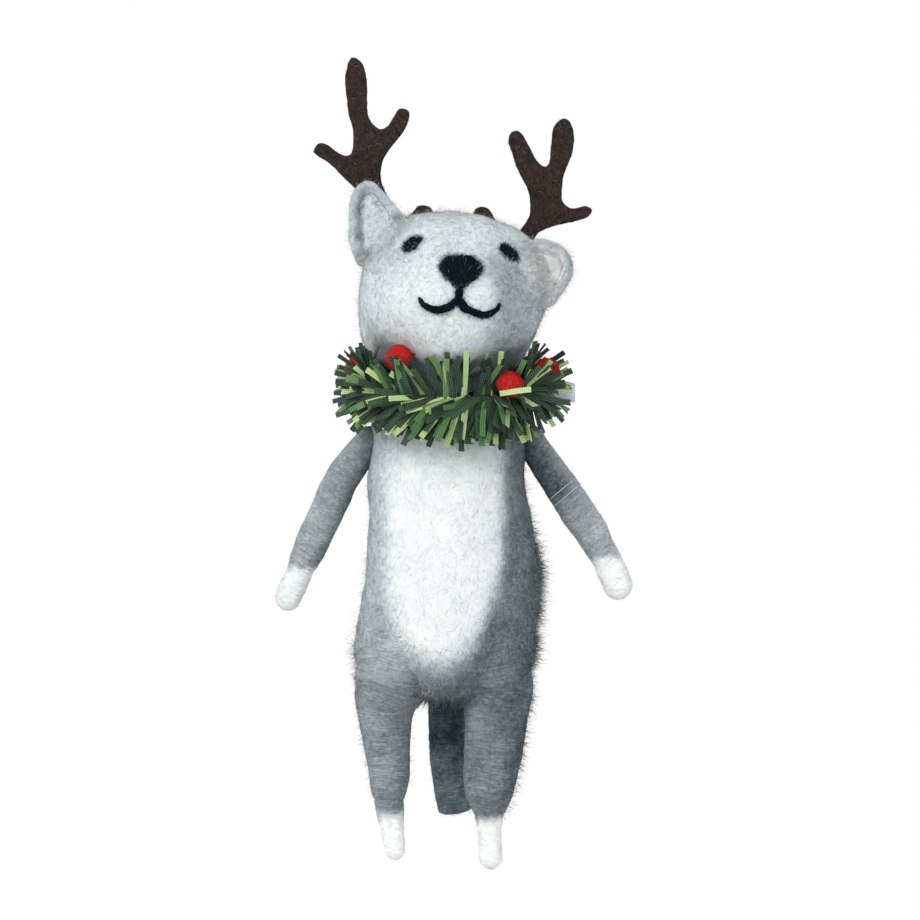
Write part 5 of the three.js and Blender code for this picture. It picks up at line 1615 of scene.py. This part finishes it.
def build_face():
    """Eyes and nose as black caps with fuzz, crossed by pale hairs, and the mouth."""
    for side in EYE_SLANTS:
        middle = centre_of(f"eye_{side}")[[0, 2]]
        outline = eye_outline(side, middle)
        grid = face_patch(f"eye_{side}_wool", outline, middle, EYE_THICKNESS, f"eye_{side}")
        black_fuzz(f"eye_{side}_fuzz", grid, 800, 301)
        pale_crossing(f"eye_{side}_hairs", outline, middle, 40, 303)
    outline = NOSE_PLACE + smooth_path(np.array(NOSE_SHARES) * NOSE_SIZE, 90, closed=True)
    grid = face_patch("nose_wool", outline, NOSE_PLACE, NOSE_THICKNESS, "nose")
    black_fuzz("nose_fuzz", grid, 1900, 311)
    pale_crossing("nose_hairs", outline, NOSE_PLACE, 110, 313)
    build_mouth()


def build_mouth():
    """The smile and its stem: tubes along paths on the face, the smile thinned toward its ends by
    the fourth power of the way from its middle."""
    for kind, line in MOUTH_LINES.items():
        flat = MOUTH_PLACE + smooth_path(np.array(line["shares"]) * MOUTH_WIDTH, line["steps"])
        normals = face_normals(flat[:, 0], flat[:, 1])
        path = face_points(flat[:, 0], flat[:, 1]) - 0.35 * MM * normals
        thinned = line["thinned"] * np.linspace(-1, 1, len(path)) ** 4
        radii = MOUTH_LINE / 2 * (1 - thinned + 0.18 * lattice_noise(path, 1.6 * MM, 97))
        grid = tube_grid(path, round_ends(path, radii), 26, normals)
        grid = grid + grid_normals(grid) * lumps(grid, *LUMPS["mouth"])[..., None]
        dress(f"mouth_{kind}_wool", grid, black_felt, "figure", line["replaces"], "black_wool")
        black_fuzz(f"mouth_{kind}_fuzz", grid, line["fuzz"], 321, at_edge=0)


def build_torso():
    """The torso's wool with its coats, thicker on its flanks, at the hips and the crotch."""
    grid = torso_grid(160, 190)
    white = torso_white(grid)
    dress("torso_wool", grid, grey_wool, "figure", ["torso"], "grey_wool", fill=0.9, white=white)
    x, y, z = np.moveaxis(grid, -1, 0)
    to_right, to_back, _ = np.moveaxis(grid_normals(grid), -1, 0)
    under_patch = (belly_share(x, z) < BELLY_HIDES_TORSO) & (y < 0)
    bare = np.where(under_patch, 0, 1) * ease(-41 * MM, -47 * MM, z)
    low = ease(-66 * MM, -96 * MM, z)
    right = ease(6 * MM, 14 * MM, x)
    tufts = 0.4 + np.clip(lattice_noise(grid, 3 * MM, 409) * 2, 0, 1)
    lay_wool(
        "torso", grid, np.random.default_rng(401), torso_white, LYING_WOOL["torso"], weight=bare,
        heading=(1.57, 0.9),
    )
    raise_fuzz(
        "torso", grid, np.random.default_rng(403), torso_white, FUZZ["torso"],
        np.array([0.3, 0, -0.5]), weight=bare * (0.2 + low * (0.3 + right) + 0.8 * right) * tufts,
    )
    raise_fuzz(
        "torso_down", grid, np.random.default_rng(407), torso_white, FUZZ["torso_down"],
        np.zeros(3), weight=bare * (1.1 - 0.8 * np.abs(to_back)),
    )
    skirt = ease(-99 * MM, -104 * MM, z) * ease(-113 * MM, -110 * MM, z) * np.abs(to_back) ** 2
    raise_fuzz(
        "hips", grid, np.random.default_rng(405), torso_white, FUZZ["hips"], -RISE,
        weight=skirt + HARDLY_ANY,
    )
    right_side = np.clip(to_right - 0.5, 0, 1) * ease(-66 * MM, -84 * MM, z)
    left_side = np.clip(-to_right - 0.5, 0, 1) * ease(-94 * MM, -102 * MM, z)
    # painted light: the flank fuzz made paler than the wool under it, against the shade in the dense
    # fuzz
    raise_fuzz(
        "flank", grid, np.random.default_rng(413), lambda points: torso_white(points) + 0.08,
        FUZZ["flank"], np.array([0.4, 0, -0.4]), thick=1.8,
        weight=(right_side + 0.3 * left_side) * tufts + HARDLY_ANY,
    )
    crotch = ease(-107 * MM, -110.5 * MM, z) * ease(11 * MM, 8 * MM, np.abs(x + 2 * MM))
    raise_fuzz(
        "crotch", grid, np.random.default_rng(417), torso_white, FUZZ["crotch"],
        np.array([0, -0.3, -2.2]), thick=1.8, weight=crotch * (to_back < 0.3) + HARDLY_ANY,
    )
    build_belly()


def build_belly():
    """The white patch, and the coat on its front."""
    rings = 54
    grid = belly_grid(rings, 130)
    white = torso_white(grid)
    dress("belly_wool", grid, grey_wool, "figure", ["belly_patch"], "white_wool", white=white)
    rng = np.random.default_rng(411)
    front = grid[:rings]
    lay_wool("belly", front, rng, torso_white, LYING_WOOL["belly"], thick=0.7)
    raise_fuzz("belly", front, rng, torso_white, FUZZ["belly"], -0.5 * RISE, thick=0.7)


def build_limb(kind, node, skin, lay, cross, white_at, fibre_seed, amounts, down, bushy=0):
    """A wound limb with its coat. down is how much its fuzz hangs, and bushy the side, -1 or 1, on
    which it gathers in tufts."""
    dress(
        f"{node}_wool", skin, wound_wool, None, [node], "grey_wool", fill=0.9, cross=cross,
        white=white_at(skin), lay=lay,
    )
    lay_wool(
        node, skin, np.random.default_rng(fibre_seed), white_at, LYING_WOOL[kind], cross=cross,
        heading=(0, 0.16),
    )
    tufts = 0.3 + 2 * np.clip(lattice_noise(skin, 3 * MM, 409), 0, 1)
    outer_side = np.clip(bushy * grid_normals(skin)[..., 0], 0, 1) ** 2
    raise_fuzz(
        node, skin, np.random.default_rng(fibre_seed + 3), white_at, amounts, -down * RISE,
        cross=cross, weight=0.3 + 1.4 * outer_side * tufts, thick=1.6 if bushy else 1.0,
    )


def build_bulb(node, skin, lay, body, white_at, seed):
    """A white paw or foot with its coat, the sleeve's grey fading out over its top."""
    dress(
        f"{node}_wool", skin, wound_wool, body, [node], "white_wool", fill=0.95,
        white=white_at(skin), lay=lay,
    )
    rng = np.random.default_rng(seed)
    lay_wool(
        node, skin, rng, white_at, LYING_WOOL["bulb"], body=body, heading=(0, 0.4), thick=0.8,
    )
    raise_fuzz(node, skin, rng, white_at, FUZZ["bulb"], np.zeros(3), body=body, thick=0.8)


def arm_white(side, path, direction):
    """Share of white wool on an arm and paw as a function of place: grey with painted light and shade,
    lighter on the outer side, darker on the inner side against the torso and navy at the inner top
    under the wreath, up to a ragged edge at the wrist that slants with the way out."""
    arm = ARMS[side]
    wrist = path[-1]
    spine = path[::10, [0, 2]]

    def white_at(points):
        before = (wrist - points) @ direction + 0.8 * MM * lattice_noise(points, 1.5 * MM, 503)
        centre = np.interp(-points[..., 2], -spine[:, 1], spine[:, 0])
        outer = np.clip((points[..., 0] - centre) * arm["side"] / (4.6 * MM), -1, 1)
        # painted shade: navy at the arm's inner top, under the wreath and against the torso
        top = ease(-74 * MM, -62 * MM, points[..., 2]) * ease(1.3, 0.1, outer)
        grey = arm["grey"] + 0.12 * lattice_noise(points, 5 * MM, 505) - arm["navy"] * top
        # painted light and shade: the outer side lighter and the inner side darker
        grey = grey + 0.1 * np.maximum(outer, 0) + 0.12 * np.minimum(outer, 0)
        return grey + (arm["white"] - grey) * ease(*arm["fade"], before + 1.2 * MM * outer)

    return white_at


def build_arms():
    """Arms from the shoulders, paws that ride on them, and the thread."""
    for side, arm in ARMS.items():
        path, radii, direction = arm_parts(side)
        joint = pivots[f"shoulder_{side}"]
        white_at = arm_white(side, path, direction)
        bend_end = joint + [arm["side"] * 3 * MM, 0, -7 * MM]
        cross = ("figure", f"arm_{side}", joint + 2 * MM * RISE, bend_end)
        skin, lay = limb_skin(path, radii, 56, DEPTH, 501, LIMB_RIDGES, last=0.25)
        build_limb("arm", f"arm_{side}", skin, lay, cross, white_at, 501, FUZZ["arm"], 0.5)
        skin, lay = bulb_skin(
            path[-1], direction, arm["paw_length"], arm["paw_radius"], PAW_STATIONS,
            PAW_RADIUS_SHARES, 511,
        )
        build_bulb(f"paw_{side}", skin, lay, f"arm_{side}", white_at, 515)
    build_thread()


def build_thread():
    """Two turns of thread round the right arm: a circle square to the arm carried along it."""
    path, radii, _ = arm_parts("right")
    nearest = np.linalg.norm(path - centre_of("thread_wrap"), axis=1).argmin()
    along = unit(path[nearest + 3] - path[nearest - 3])
    out = unit(np.cross(DEPTH, along))
    turn = np.linspace(-TURN, TURN, 160)
    reach = radii[nearest] + 0.06 * MM
    circle = np.outer(np.cos(turn), out) + np.outer(np.sin(turn), DEPTH)
    line = path[nearest] + np.outer(THREAD_PITCH * turn / TURN, along) + reach * circle
    grid = tube_grid(line, np.full(len(line), THREAD_RADIUS), 8, along)
    dress("thread_wool", grid, white_thread, "arm_right", ["thread_wrap"], "white_thread")


def leg_white(side, path, direction):
    """Share of white wool on a leg and foot as a function of place: the torso's at the hip, then
    grey, darker toward the right as painted shade on the side away from the light, up to a ragged
    edge at the ankle."""
    leg = LEGS[side]
    ankle = path[-1]
    joint = pivots[f"hip_{side}"]

    def white_at(points):
        before = (ankle - points) @ direction + 1 * MM * lattice_noise(points, 1.4 * MM, 603)
        # painted light and shade: each leg lighter on its left and darker on its right
        across = np.clip((points[..., 0] - joint[0]) / (7 * MM), -1, 1)
        grey = leg["grey"] - 0.015 - 0.07 * across + 0.08 * lattice_noise(points, 5 * MM, 605)
        at_hip = ease(-114 * MM, -106 * MM, points[..., 2])
        grey = grey + (torso_white(points) - grey) * at_hip
        return grey + (1 - grey) * ease(*leg["fade"], before)

    return white_at


def build_legs():
    """Legs that flow out of the torso, and feet that ride on them."""
    for side, leg in LEGS.items():
        path, radii, direction, depth = leg_parts(side)
        joint = pivots[f"hip_{side}"]
        white_at = leg_white(side, path, direction)
        cross = ("figure", f"leg_{side}", joint + 2 * MM * RISE, joint - 11 * MM * RISE)
        skin, lay = limb_skin(path, radii, 84, DEPTH, 601, LIMB_RIDGES, last=0.25, depth=depth)
        build_limb(
            "leg", f"leg_{side}", flowing_from_torso(skin), lay, cross, white_at, 601,
            FUZZ[f"leg_{side}"], 0.3, bushy=leg["side"],
        )
        skin, lay = bulb_skin(
            path[-1], direction, leg["foot_length"], leg["foot_radius"], FOOT_STATIONS,
            leg["foot_radius_shares"], 611,
        )
        build_bulb(f"foot_{side}", skin, lay, f"leg_{side}", white_at, 615)


def tail_white(points):
    """Share of white wool on the tail: navy at its root, partly the wool's own colour and partly
    painted shade between the legs, grey farther down.
    """
    ragged = points[..., 2] + 1.5 * MM * lattice_noise(points, 2.5 * MM, 707)
    # painted shade with the wool's own navy: the root darker between the legs
    top = ease(-136 * MM, -119 * MM, ragged)
    return 0.03 - 0.145 * top + 0.08 * lattice_noise(points, 3 * MM, 705)


def build_tail():
    """The tail, from its root."""
    place = pivots["tail_lift"]
    spine = np.array(TAIL_SPINE_SHARES) * [1, 1, -1] * TAIL_LENGTH
    path = limb_path(place, spine, -unit(spine[1]) * TAIL_RADIUS, 140)
    run = run_along(path)
    stations = np.r_[0, stations_along(run, TAIL_RADIUS)]
    radii = smooth_values(stations, np.r_[0.95, TAIL_RADIUS_SHARES] * TAIL_RADIUS, run)
    cross = ("figure", "tail", place + 1 * MM * RISE, place - 8 * MM * RISE)
    skin, lay = limb_skin(path, radii, 64, CROSS, 701, LIMB_RIDGES, last=0.35)
    build_limb("tail", "tail", skin, lay, cross, tail_white, 701, FUZZ["tail"], 0.4)


# Antlers


def sheet_mesh(name, outline, middle_y, thickness, material):
    """A felt sheet cut to an outline: two faces and a wall, remeshed to small squares, its edges
    rounded by smoothing and its faces roughened along their normals."""
    count = len(outline)
    front = np.stack([outline[:, 0], np.full(count, middle_y - thickness / 2), outline[:, 1]], -1)
    back = front + thickness * DEPTH
    low = np.arange(count)
    after = np.roll(low, -1)
    wall = np.stack([low, after, after + count, low + count], -1)
    following = np.roll(outline, -1, 0)
    area = (outline[:, 0] * following[:, 1] - following[:, 0] * outline[:, 1]).sum()
    caps = [low[None, :], (low + count)[None, ::-1]]
    faces = [wall[:, ::-1], *caps] if area > 0 else [wall, *(cap[:, ::-1] for cap in caps)]
    rough = make_mesh(name + "_rough", np.vstack([front, back]), faces, material)
    squares = rough.modifiers.new("squares", "REMESH")
    squares.mode = "VOXEL"
    squares.voxel_size = ANTLER_SQUARE
    rough.modifiers.new("soften", "SMOOTH").iterations = ANTLER_SMOOTHING
    graph = bpy.context.evaluated_depsgraph_get()
    mesh = bpy.data.meshes.new_from_object(rough.evaluated_get(graph))
    bpy.data.objects.remove(rough)
    points = np.zeros(len(mesh.vertices) * 3, np.float32)
    mesh.vertices.foreach_get("co", points)
    points = points.reshape(-1, 3).astype(float)
    normals = np.zeros(len(mesh.vertices) * 3, np.float32)
    mesh.vertices.foreach_get("normal", normals)
    points = points + normals.reshape(-1, 3) * lumps(points, *LUMPS["antler"])[:, None]
    mesh.vertices.foreach_set("co", points.astype(np.float32).ravel())
    mesh.name = name
    mesh.materials.clear()
    mesh.materials.append(material)
    mesh.polygons.foreach_set("use_smooth", np.ones(len(mesh.polygons), bool))
    mesh.update()
    piece = bpy.data.objects.new(name, mesh)
    bpy.context.scene.collection.objects.link(piece)
    return piece, points, normals.reshape(-1, 3)


def build_antlers():
    """Both antlers, cut to their outlines, and the lint on them."""
    rng = np.random.default_rng(801)
    for side, antler in ANTLERS.items():
        shares = np.array(antler["outline_shares"])
        outline = smooth_path(shares * antler["height"], 260, closed=True)
        outline = outline + [antler["across"], -antler["drop"]]
        piece, points, normals = sheet_mesh(
            f"antler_{side}_felt", outline, centre_of(f"antler_{side}")[1], ANTLER_THICKNESS,
            brown_felt,
        )
        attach(piece, "figure")
        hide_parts(f"antler_{side}")
        antler_lint(f"antler_{side}_lint", points, normals, rng)


def antler_lint(name, points, normals, rng):
    """Short fibres on an antler, each about a point of its mesh, bowed by its share squared."""
    count = some(ANTLER_LINT)
    pick = rng.integers(0, len(points), count)
    facing = normals[pick]
    heading = unit(np.cross(facing, rng.standard_normal((count, 3))))
    share = np.linspace(-0.5, 0.5, 5)[None, :, None]
    length = rng.uniform(0.6, 2.2, count)[:, None, None] * MM
    bow = np.cross(facing, heading)[:, None] * share**2 * rng.normal(0, 1, (count, 1, 1))
    rise = rng.uniform(0, 0.12, count)[:, None, None] * MM * facing[:, None]
    lines = points[pick][:, None] + length * (heading[:, None] * share + bow) + rise
    tone = rng.uniform(0, 1, count) ** 2 * 1.8
    radius = rng.uniform(0.02, 0.04, count) * MM
    fuzz(name, "figure", brown_fibre, lines, radius, tone, np.zeros(count), facing)


# Wreath

WREATH_PLACE = pivots["wreath_turn"]
WREATH_BACK = np.cross(wreath_axis, CROSS)


def ring_frame(around):
    """Outward and sideways directions at angles round the ring, zero at the front."""
    outward = np.sin(around)[..., None] * CROSS - np.cos(around)[..., None] * WREATH_BACK
    sideways = np.cos(around)[..., None] * CROSS + np.sin(around)[..., None] * WREATH_BACK
    return outward, sideways


def four_cornered(path, wide, thin):
    """Four corners round each point of a path, at half its width and half its thickness."""
    return np.stack([path + across * wide + over * thin for across, over in SQUARE], -2)


def kept_out_of_balls(points, centres, radius):
    """Points inside a ball moved straight out to its surface."""
    for centre in centres:
        away = points - centre
        distance = np.linalg.norm(away, axis=-1, keepdims=True)
        points = centre + away * np.maximum(1, radius / np.maximum(distance, 1e-6))
    return points


def kept_off_wool(points, clearance):
    """Points inside the head moved out along their direction from its centre, and points inside the
    torso moved out level."""
    away = points - HEAD_CENTRE
    distance = np.linalg.norm(away, axis=-1, keepdims=True)
    reach = head_reach(away / distance)[..., None] + clearance
    points = HEAD_CENTRE + away * np.maximum(1, reach / distance)
    shift, width, depth = torso_section(points[..., 2])
    across, back = (points[..., 0] - shift) / (width + clearance), points[..., 1] / (depth + clearance)
    level = np.hypot(across, back)
    grow = np.where((level < 1) & (points[..., 2] < SEAT_Z), 1 / np.maximum(level, 0.2), 1)
    x = shift + (points[..., 0] - shift) * grow
    return np.stack([x, points[..., 1] * grow, points[..., 2]], -1)


def turned_wreath(points, angle):
    """Points turned with the wreath about its own axis."""
    away = points - WREATH_PLACE
    along = (away @ wreath_axis)[..., None] * wreath_axis
    swept = (away - along) * math.cos(angle) + np.cross(wreath_axis, away) * math.sin(angle)
    return WREATH_PLACE + along + swept


def kept_clear_when_turned(points, clearance):
    """Points kept off the wool at steps all through the wreath's turn, and at rest last."""
    for angle in WREATH_TURNS:
        moved = kept_off_wool(turned_wreath(points, angle), clearance)
        points = turned_wreath(moved, -angle)
    return points


def strip_angles(around, rng):
    """Tilt up from level and lean along the ring for strips at angles round it. In front they fan
    out from the middle in three sets, those that hang, those that stand and those swept left;
    behind they point every way."""
    sets = np.array(STRIP_SETS)
    pick = rng.choice(len(sets), len(around), p=STRIP_SET_SHARES)
    at = np.degrees(around)
    tilt = np.array([np.interp(a, sets[i, :, 0], sets[i, :, 1]) for a, i in zip(at, pick)])
    lean = np.array([np.interp(a, sets[i, :, 0], sets[i, :, 2]) for a, i in zip(at, pick)])
    behind = np.abs(at) > BEHIND_WREATH
    tilt = np.where(behind, rng.uniform(-80, 80, len(around)), tilt)
    lean = np.where(behind, rng.normal(0, 15, len(around)), lean)
    tilt = tilt + rng.normal(0, 12, len(around))
    lean = lean + rng.normal(0, 11, len(around))
    return np.radians(tilt), np.radians(lean)


def strip_plan(arc, rng):
    """Angle round the ring, tilt, lean, length and tone of each strip of an arc, the random ones
    first. Those that cover the berries come last, and their layers in mm are given too."""
    middle, count = STRIP_ARCS[arc]
    around = np.radians(middle + rng.uniform(-45, 45, count))
    tilt, lean = strip_angles(around, rng)
    length = STRIP_LENGTH + STRIP_LONGER_IN_FRONT * np.maximum(0, np.cos(around))
    length = length + STRIP_LENGTH_SPREAD * rng.standard_normal(count)
    tone = rng.choice(STRIP_TONES, count, p=STRIP_TONE_SHARES) + rng.normal(0, 0.06, count)
    cover = np.array(COVER_STRIPS.get(arc, np.zeros((0, 6))))
    around, tilt, lean = (
        np.r_[values, np.radians(cover[:, i])] for i, values in enumerate((around, tilt, lean))
    )
    length = np.r_[length, cover[:, 3] * MM]
    length = length * np.where(np.abs(around - TAB_AROUND) < TAB_ROOM, 0.5, 1)
    return around, tilt, lean, length, np.r_[tone, cover[:, 4]], cover[:, 5]


def strip_boxes(around, tilt, lean, length, cover_layers, berries, rng):
    """Four corners at each step of each strip. A strip starts at its layer over the core and runs
    along its heading, bent more and more by a random amount each way, and droops by its share
    squared. It is kept off the wool and the berries, and rolled about its length."""
    count = len(around)
    outward, sideways = ring_frame(around)
    spoke = outward * np.cos(tilt)[:, None] + wreath_axis * np.sin(tilt)[:, None]
    heading = spoke * np.cos(lean)[:, None] + sideways * np.sin(lean)[:, None]
    facing = outward + 0.35 * wreath_axis
    thin = unit(facing - heading * (facing * heading).sum(-1, keepdims=True))
    wide = np.cross(thin, heading)
    bend = rng.normal(0, 0.12, (count, 1)) * wide + rng.normal(0, 0.2, (count, 1)) * thin
    share = np.linspace(0, 1, STRIP_STEPS)[None, :, None]
    run = np.cumsum(heading[:, None] + share * bend[:, None], 1)
    run = (run - run[:, :1]) * (length / (STRIP_STEPS - 1))[:, None, None]
    layer = rng.uniform(*STRIP_LAYERS, count)
    layer[count - len(cover_layers):] = cover_layers
    root = WREATH_PLACE + WREATH_RADIUS * outward + layer[:, None] * MM * unit(facing)
    path = root[:, None] + run - STRIP_DROOP * share**2 * RISE
    path = kept_clear_when_turned(path, WOOL_CLEARANCE)
    path = kept_out_of_balls(path, berries, BERRY_CLEARANCE)
    along = unit(np.gradient(path, axis=1))
    wide = wide[:, None] - along * (wide[:, None] * along).sum(-1, keepdims=True)
    wide = unit(wide)
    thin = np.cross(along, wide)
    roll = rng.normal(0, STRIP_ROLL, count)[:, None, None]
    rolled_wide = wide * np.cos(roll) + thin * np.sin(roll)
    rolled_thin = thin * np.cos(roll) - wide * np.sin(roll)
    half_width = STRIP_WIDTH / 2 * rng.uniform(0.85, 1.05, count)[:, None, None]
    return four_cornered(path, half_width * rolled_wide, STRIP_THICKNESS / 2 * rolled_thin)


def build_strips(berries):
    """The strips of each arc of the wreath, one piece for each packed arc, and the core."""
    rng = np.random.default_rng(901)
    for arc in STRIP_ARCS:
        around, tilt, lean, length, tone, cover_layers = strip_plan(arc, rng)
        boxes = strip_boxes(around, tilt, lean, length, cover_layers, berries, rng)
        piece = strip_piece(f"garland_{arc}_strips", boxes, np.clip(tone, 0, 1), length)
        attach(piece, "wreath")
        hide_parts(f"garland_{arc}")
    build_core()


def strip_piece(name, boxes, tone, length):
    """Boxes along the strips' four corners. The strip map runs across and along in strip widths,
    and OFBake gives each strip its own cell of a square, with its ends above and below its sides."""
    count, steps = boxes.shape[:2]
    index = np.arange(steps * 4).reshape(steps, 4)
    after = np.roll(index, -1, 1)
    sides = np.stack([index[:-1], after[:-1], after[1:], index[1:]], -1).reshape(-1, 4)
    template = np.concatenate([sides, [index[0, ::-1], index[-1]]])
    faces = (np.arange(count)[:, None, None] * steps * 4 + template).reshape(-1, 4)
    step, side = np.indices((steps - 1, 4))[..., None]
    step = (step + [0, 0, 1, 1]).reshape(-1, 4)
    side = (side + [0, 1, 1, 0]).reshape(-1, 4)
    side_uv = np.stack([STRIP_MAP_SIDES[side], np.linspace(*STRIP_MAP_ENDS, steps)[step]], -1)
    end = np.array([[0, 0], [0.4, 0], [0.4, 0.07], [0, 0.07]])
    cell_uv = np.concatenate([side_uv, [end, end + [0, 0.93]]])
    cells = math.ceil(math.sqrt(count))
    corner = np.stack(np.divmod(np.arange(count), cells), -1)[:, None, None, :]
    bake_uv = (corner + 0.06 + 0.88 * cell_uv) / cells
    step = np.concatenate([step, [[0, 0, 1, 1]] * 2])
    along = step * (length / STRIP_WIDTH / (steps - 1))[:, None, None]
    strip_uv = np.stack(np.broadcast_arrays([0, 1, 1, 0], along), -1)
    if signed_volume(boxes[0]) < 0:
        faces = faces[:, ::-1]
        bake_uv, strip_uv = bake_uv[:, :, ::-1], strip_uv[:, :, ::-1]
    maps = {"OFBake": bake_uv.reshape(-1, 2), "strip": strip_uv.reshape(-1, 2)}
    tones_each = {"tone": np.repeat(tone, steps * 4)}
    points = boxes.reshape(-1, 3)
    return make_mesh(name, points, [faces], green_strip, maps, tones_each, smooth=False)


def build_core():
    """The wreath's core: a ring of folded strip ends, swollen and pinched by noise."""
    outward, _ = ring_frame(np.linspace(0, TURN, 300))
    path = WREATH_PLACE + WREATH_RADIUS * outward
    grid = tube_grid(path, np.full(len(path), CORE_RADIUS), 18, wreath_axis)
    grid = grid + grid_normals(grid) * lumps(grid, *LUMPS["core"])[..., None]
    dress("garland_core", grid, shaded_core_strip, "wreath", [], "green_strip")


def build_berries():
    """The felt berries: balls with lumps and short fuzz. Returns their centres."""
    rng = np.random.default_rng(951)
    direction = ball_directions(36, 54)
    centres = []
    for number in range(1, BERRY_COUNT + 1):
        name = f"berry_{number}"
        low, high = box_of(name)
        centre, radius = (low + high) / 2, (high - low)[0] / 2
        centres.append(centre)
        rough = lumps(direction * radius + centre, *LUMPS["berry"])
        grid = centre + direction * (radius + rough)[..., None]
        dress(f"{name}_felt", grid, red_felt, "wreath", [name], "red_felt")
        normals = grid_normals(grid)
        rows, columns = scatter(grid, some(BERRY_FUZZ), rng)
        count = len(rows)
        length = rng.uniform(0.25, 0.7, count) * MM
        lean = rng.uniform(0.5, 1.5, count)
        lines = standing_lines(grid, normals, rows, columns, rng, length, lean)
        fibre_radius = rng.uniform(0.02, 0.04, count) * MM
        tone = rng.uniform(0, 2, count)
        facing = unit(on_grid(normals, rows, columns))
        fuzz(f"{name}_fuzz", "wreath", red_fibre, lines, fibre_radius, tone, np.zeros(count), facing)
    return centres


def build_tab():
    """A folded ribbon tab: out from the core and back, its two leaves bowed apart, drooping evenly
    with the way out."""
    outward, sideways = ring_frame(np.array(TAB_AROUND))
    line = smooth_path(TAB_SHARES, 60)
    path = WREATH_PLACE + WREATH_RADIUS * outward - TAB_DROOP * line[:, :1] * RISE
    path = path + TAB_REACH * (line[:, :1] * outward + line[:, 1:] * sideways)
    thin = np.cross(unit(np.gradient(path, axis=0)), wreath_axis)
    half = TAB_HEIGHT / 2 * (1 - 0.12 * np.linspace(-1, 1, len(path)) ** 2)[:, None]
    boxes = four_cornered(path, half * wreath_axis, TAB_HALF_THICKNESS * thin)
    dress("neck_tab_satin", boxes, pale_satin, "wreath", ["neck_tab"], "satin")


def dress_wires():
    """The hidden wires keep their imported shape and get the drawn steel."""
    for node, piece in frame["nodes"].items():
        if "_wire" in node:
            for slot in piece.material_slots:
                slot.material = steel_wire


# Stage


def white_stage(name, share):
    """A pale matt floor that looks nearly white to the camera and still takes a soft shadow."""
    shader = Shader(bpy.data.materials.new(name))
    seen = shader.node("ShaderNodeLightPath", output="Is Camera Ray")
    matt = shader.node("ShaderNodeBsdfDiffuse", None, {"Color": (0.9, 0.9, 0.9, 1)})
    plain = shader.node("ShaderNodeEmission", None, {"Color": (1, 1, 1, 1), "Strength": 1.05})
    return shader.close(shader.node("ShaderNodeMixShader", None, {0: seen * share, 1: matt, 2: plain}))


def build_stage():
    """The floor below the ornament, and a pale light from all round. The camera and reflections
    see white in its place."""
    height = cad_low[2] - FLOOR_DROP
    corners = [[across * FLOOR_HALF_WIDTH, back * FLOOR_HALF_WIDTH, height] for across, back in SQUARE]
    white = white_stage("floor_white", FLOOR_WHITE_SHARE)
    make_mesh("floor", corners, [np.array([[0, 1, 2, 3]])], white)
    world = bpy.data.worlds.new("studio")
    bpy.context.scene.world = world
    shader = Shader(world)
    camera_ray, glossy_ray = (
        shader.node("ShaderNodeLightPath", output=ray) for ray in ("Is Camera Ray", "Is Glossy Ray")
    )
    fill = shader.node("ShaderNodeBackground", None, {"Color": (0.93, 0.97, 1, 1), "Strength": 0.75})
    plain = shader.node("ShaderNodeBackground", None, {"Color": (1, 1, 1, 1), "Strength": 1.0})
    sockets = {0: camera_ray.math("MAXIMUM", glossy_ray), 1: fill, 2: plain}
    shader.close(shader.node("ShaderNodeMixShader", None, sockets), "ShaderNodeOutputWorld")


def soft_lamp(name, place, size, power):
    """A square area lamp that faces the ornament."""
    data = bpy.data.lights.new(name, "AREA")
    data.shape = "SQUARE"
    data.size = size
    data.energy = power
    lamp = bpy.data.objects.new(name, data)
    bpy.context.scene.collection.objects.link(lamp)
    lamp.location = place
    lamp.rotation_euler = (LAMP_AIM - Vector(place)).to_track_quat("-Z", "Y").to_euler()


def build_lamps():
    """A key lamp at the left and a fill at the right."""
    for name, lamp in LAMPS.items():
        soft_lamp(name, *lamp)


def build_camera():
    """A long lens far in front, so that its frame is the frame width at the ornament."""
    data = bpy.data.cameras.new("camera")
    data.sensor_width = CAMERA_SENSOR_WIDTH
    data.lens = CAMERA_SENSOR_WIDTH * CAMERA_DISTANCE / FRAME_WIDTH
    data.clip_start, data.clip_end = CAMERA_RANGE
    camera = bpy.data.objects.new("camera", data)
    bpy.context.scene.collection.objects.link(camera)
    camera.location = (CAMERA_ACROSS, -CAMERA_DISTANCE, CAMERA_HEIGHT)
    camera.rotation_euler = (math.pi / 2, 0, 0)
    bpy.context.scene.camera = camera


build_camera()
build_stage()
build_lamps()
bpy.context.scene.view_settings.view_transform = "Standard"

build_head()
build_ears()
build_face()
build_torso()
build_arms()
build_legs()
build_tail()
build_antlers()
build_strips(build_berries())
build_tab()
dress_wires()
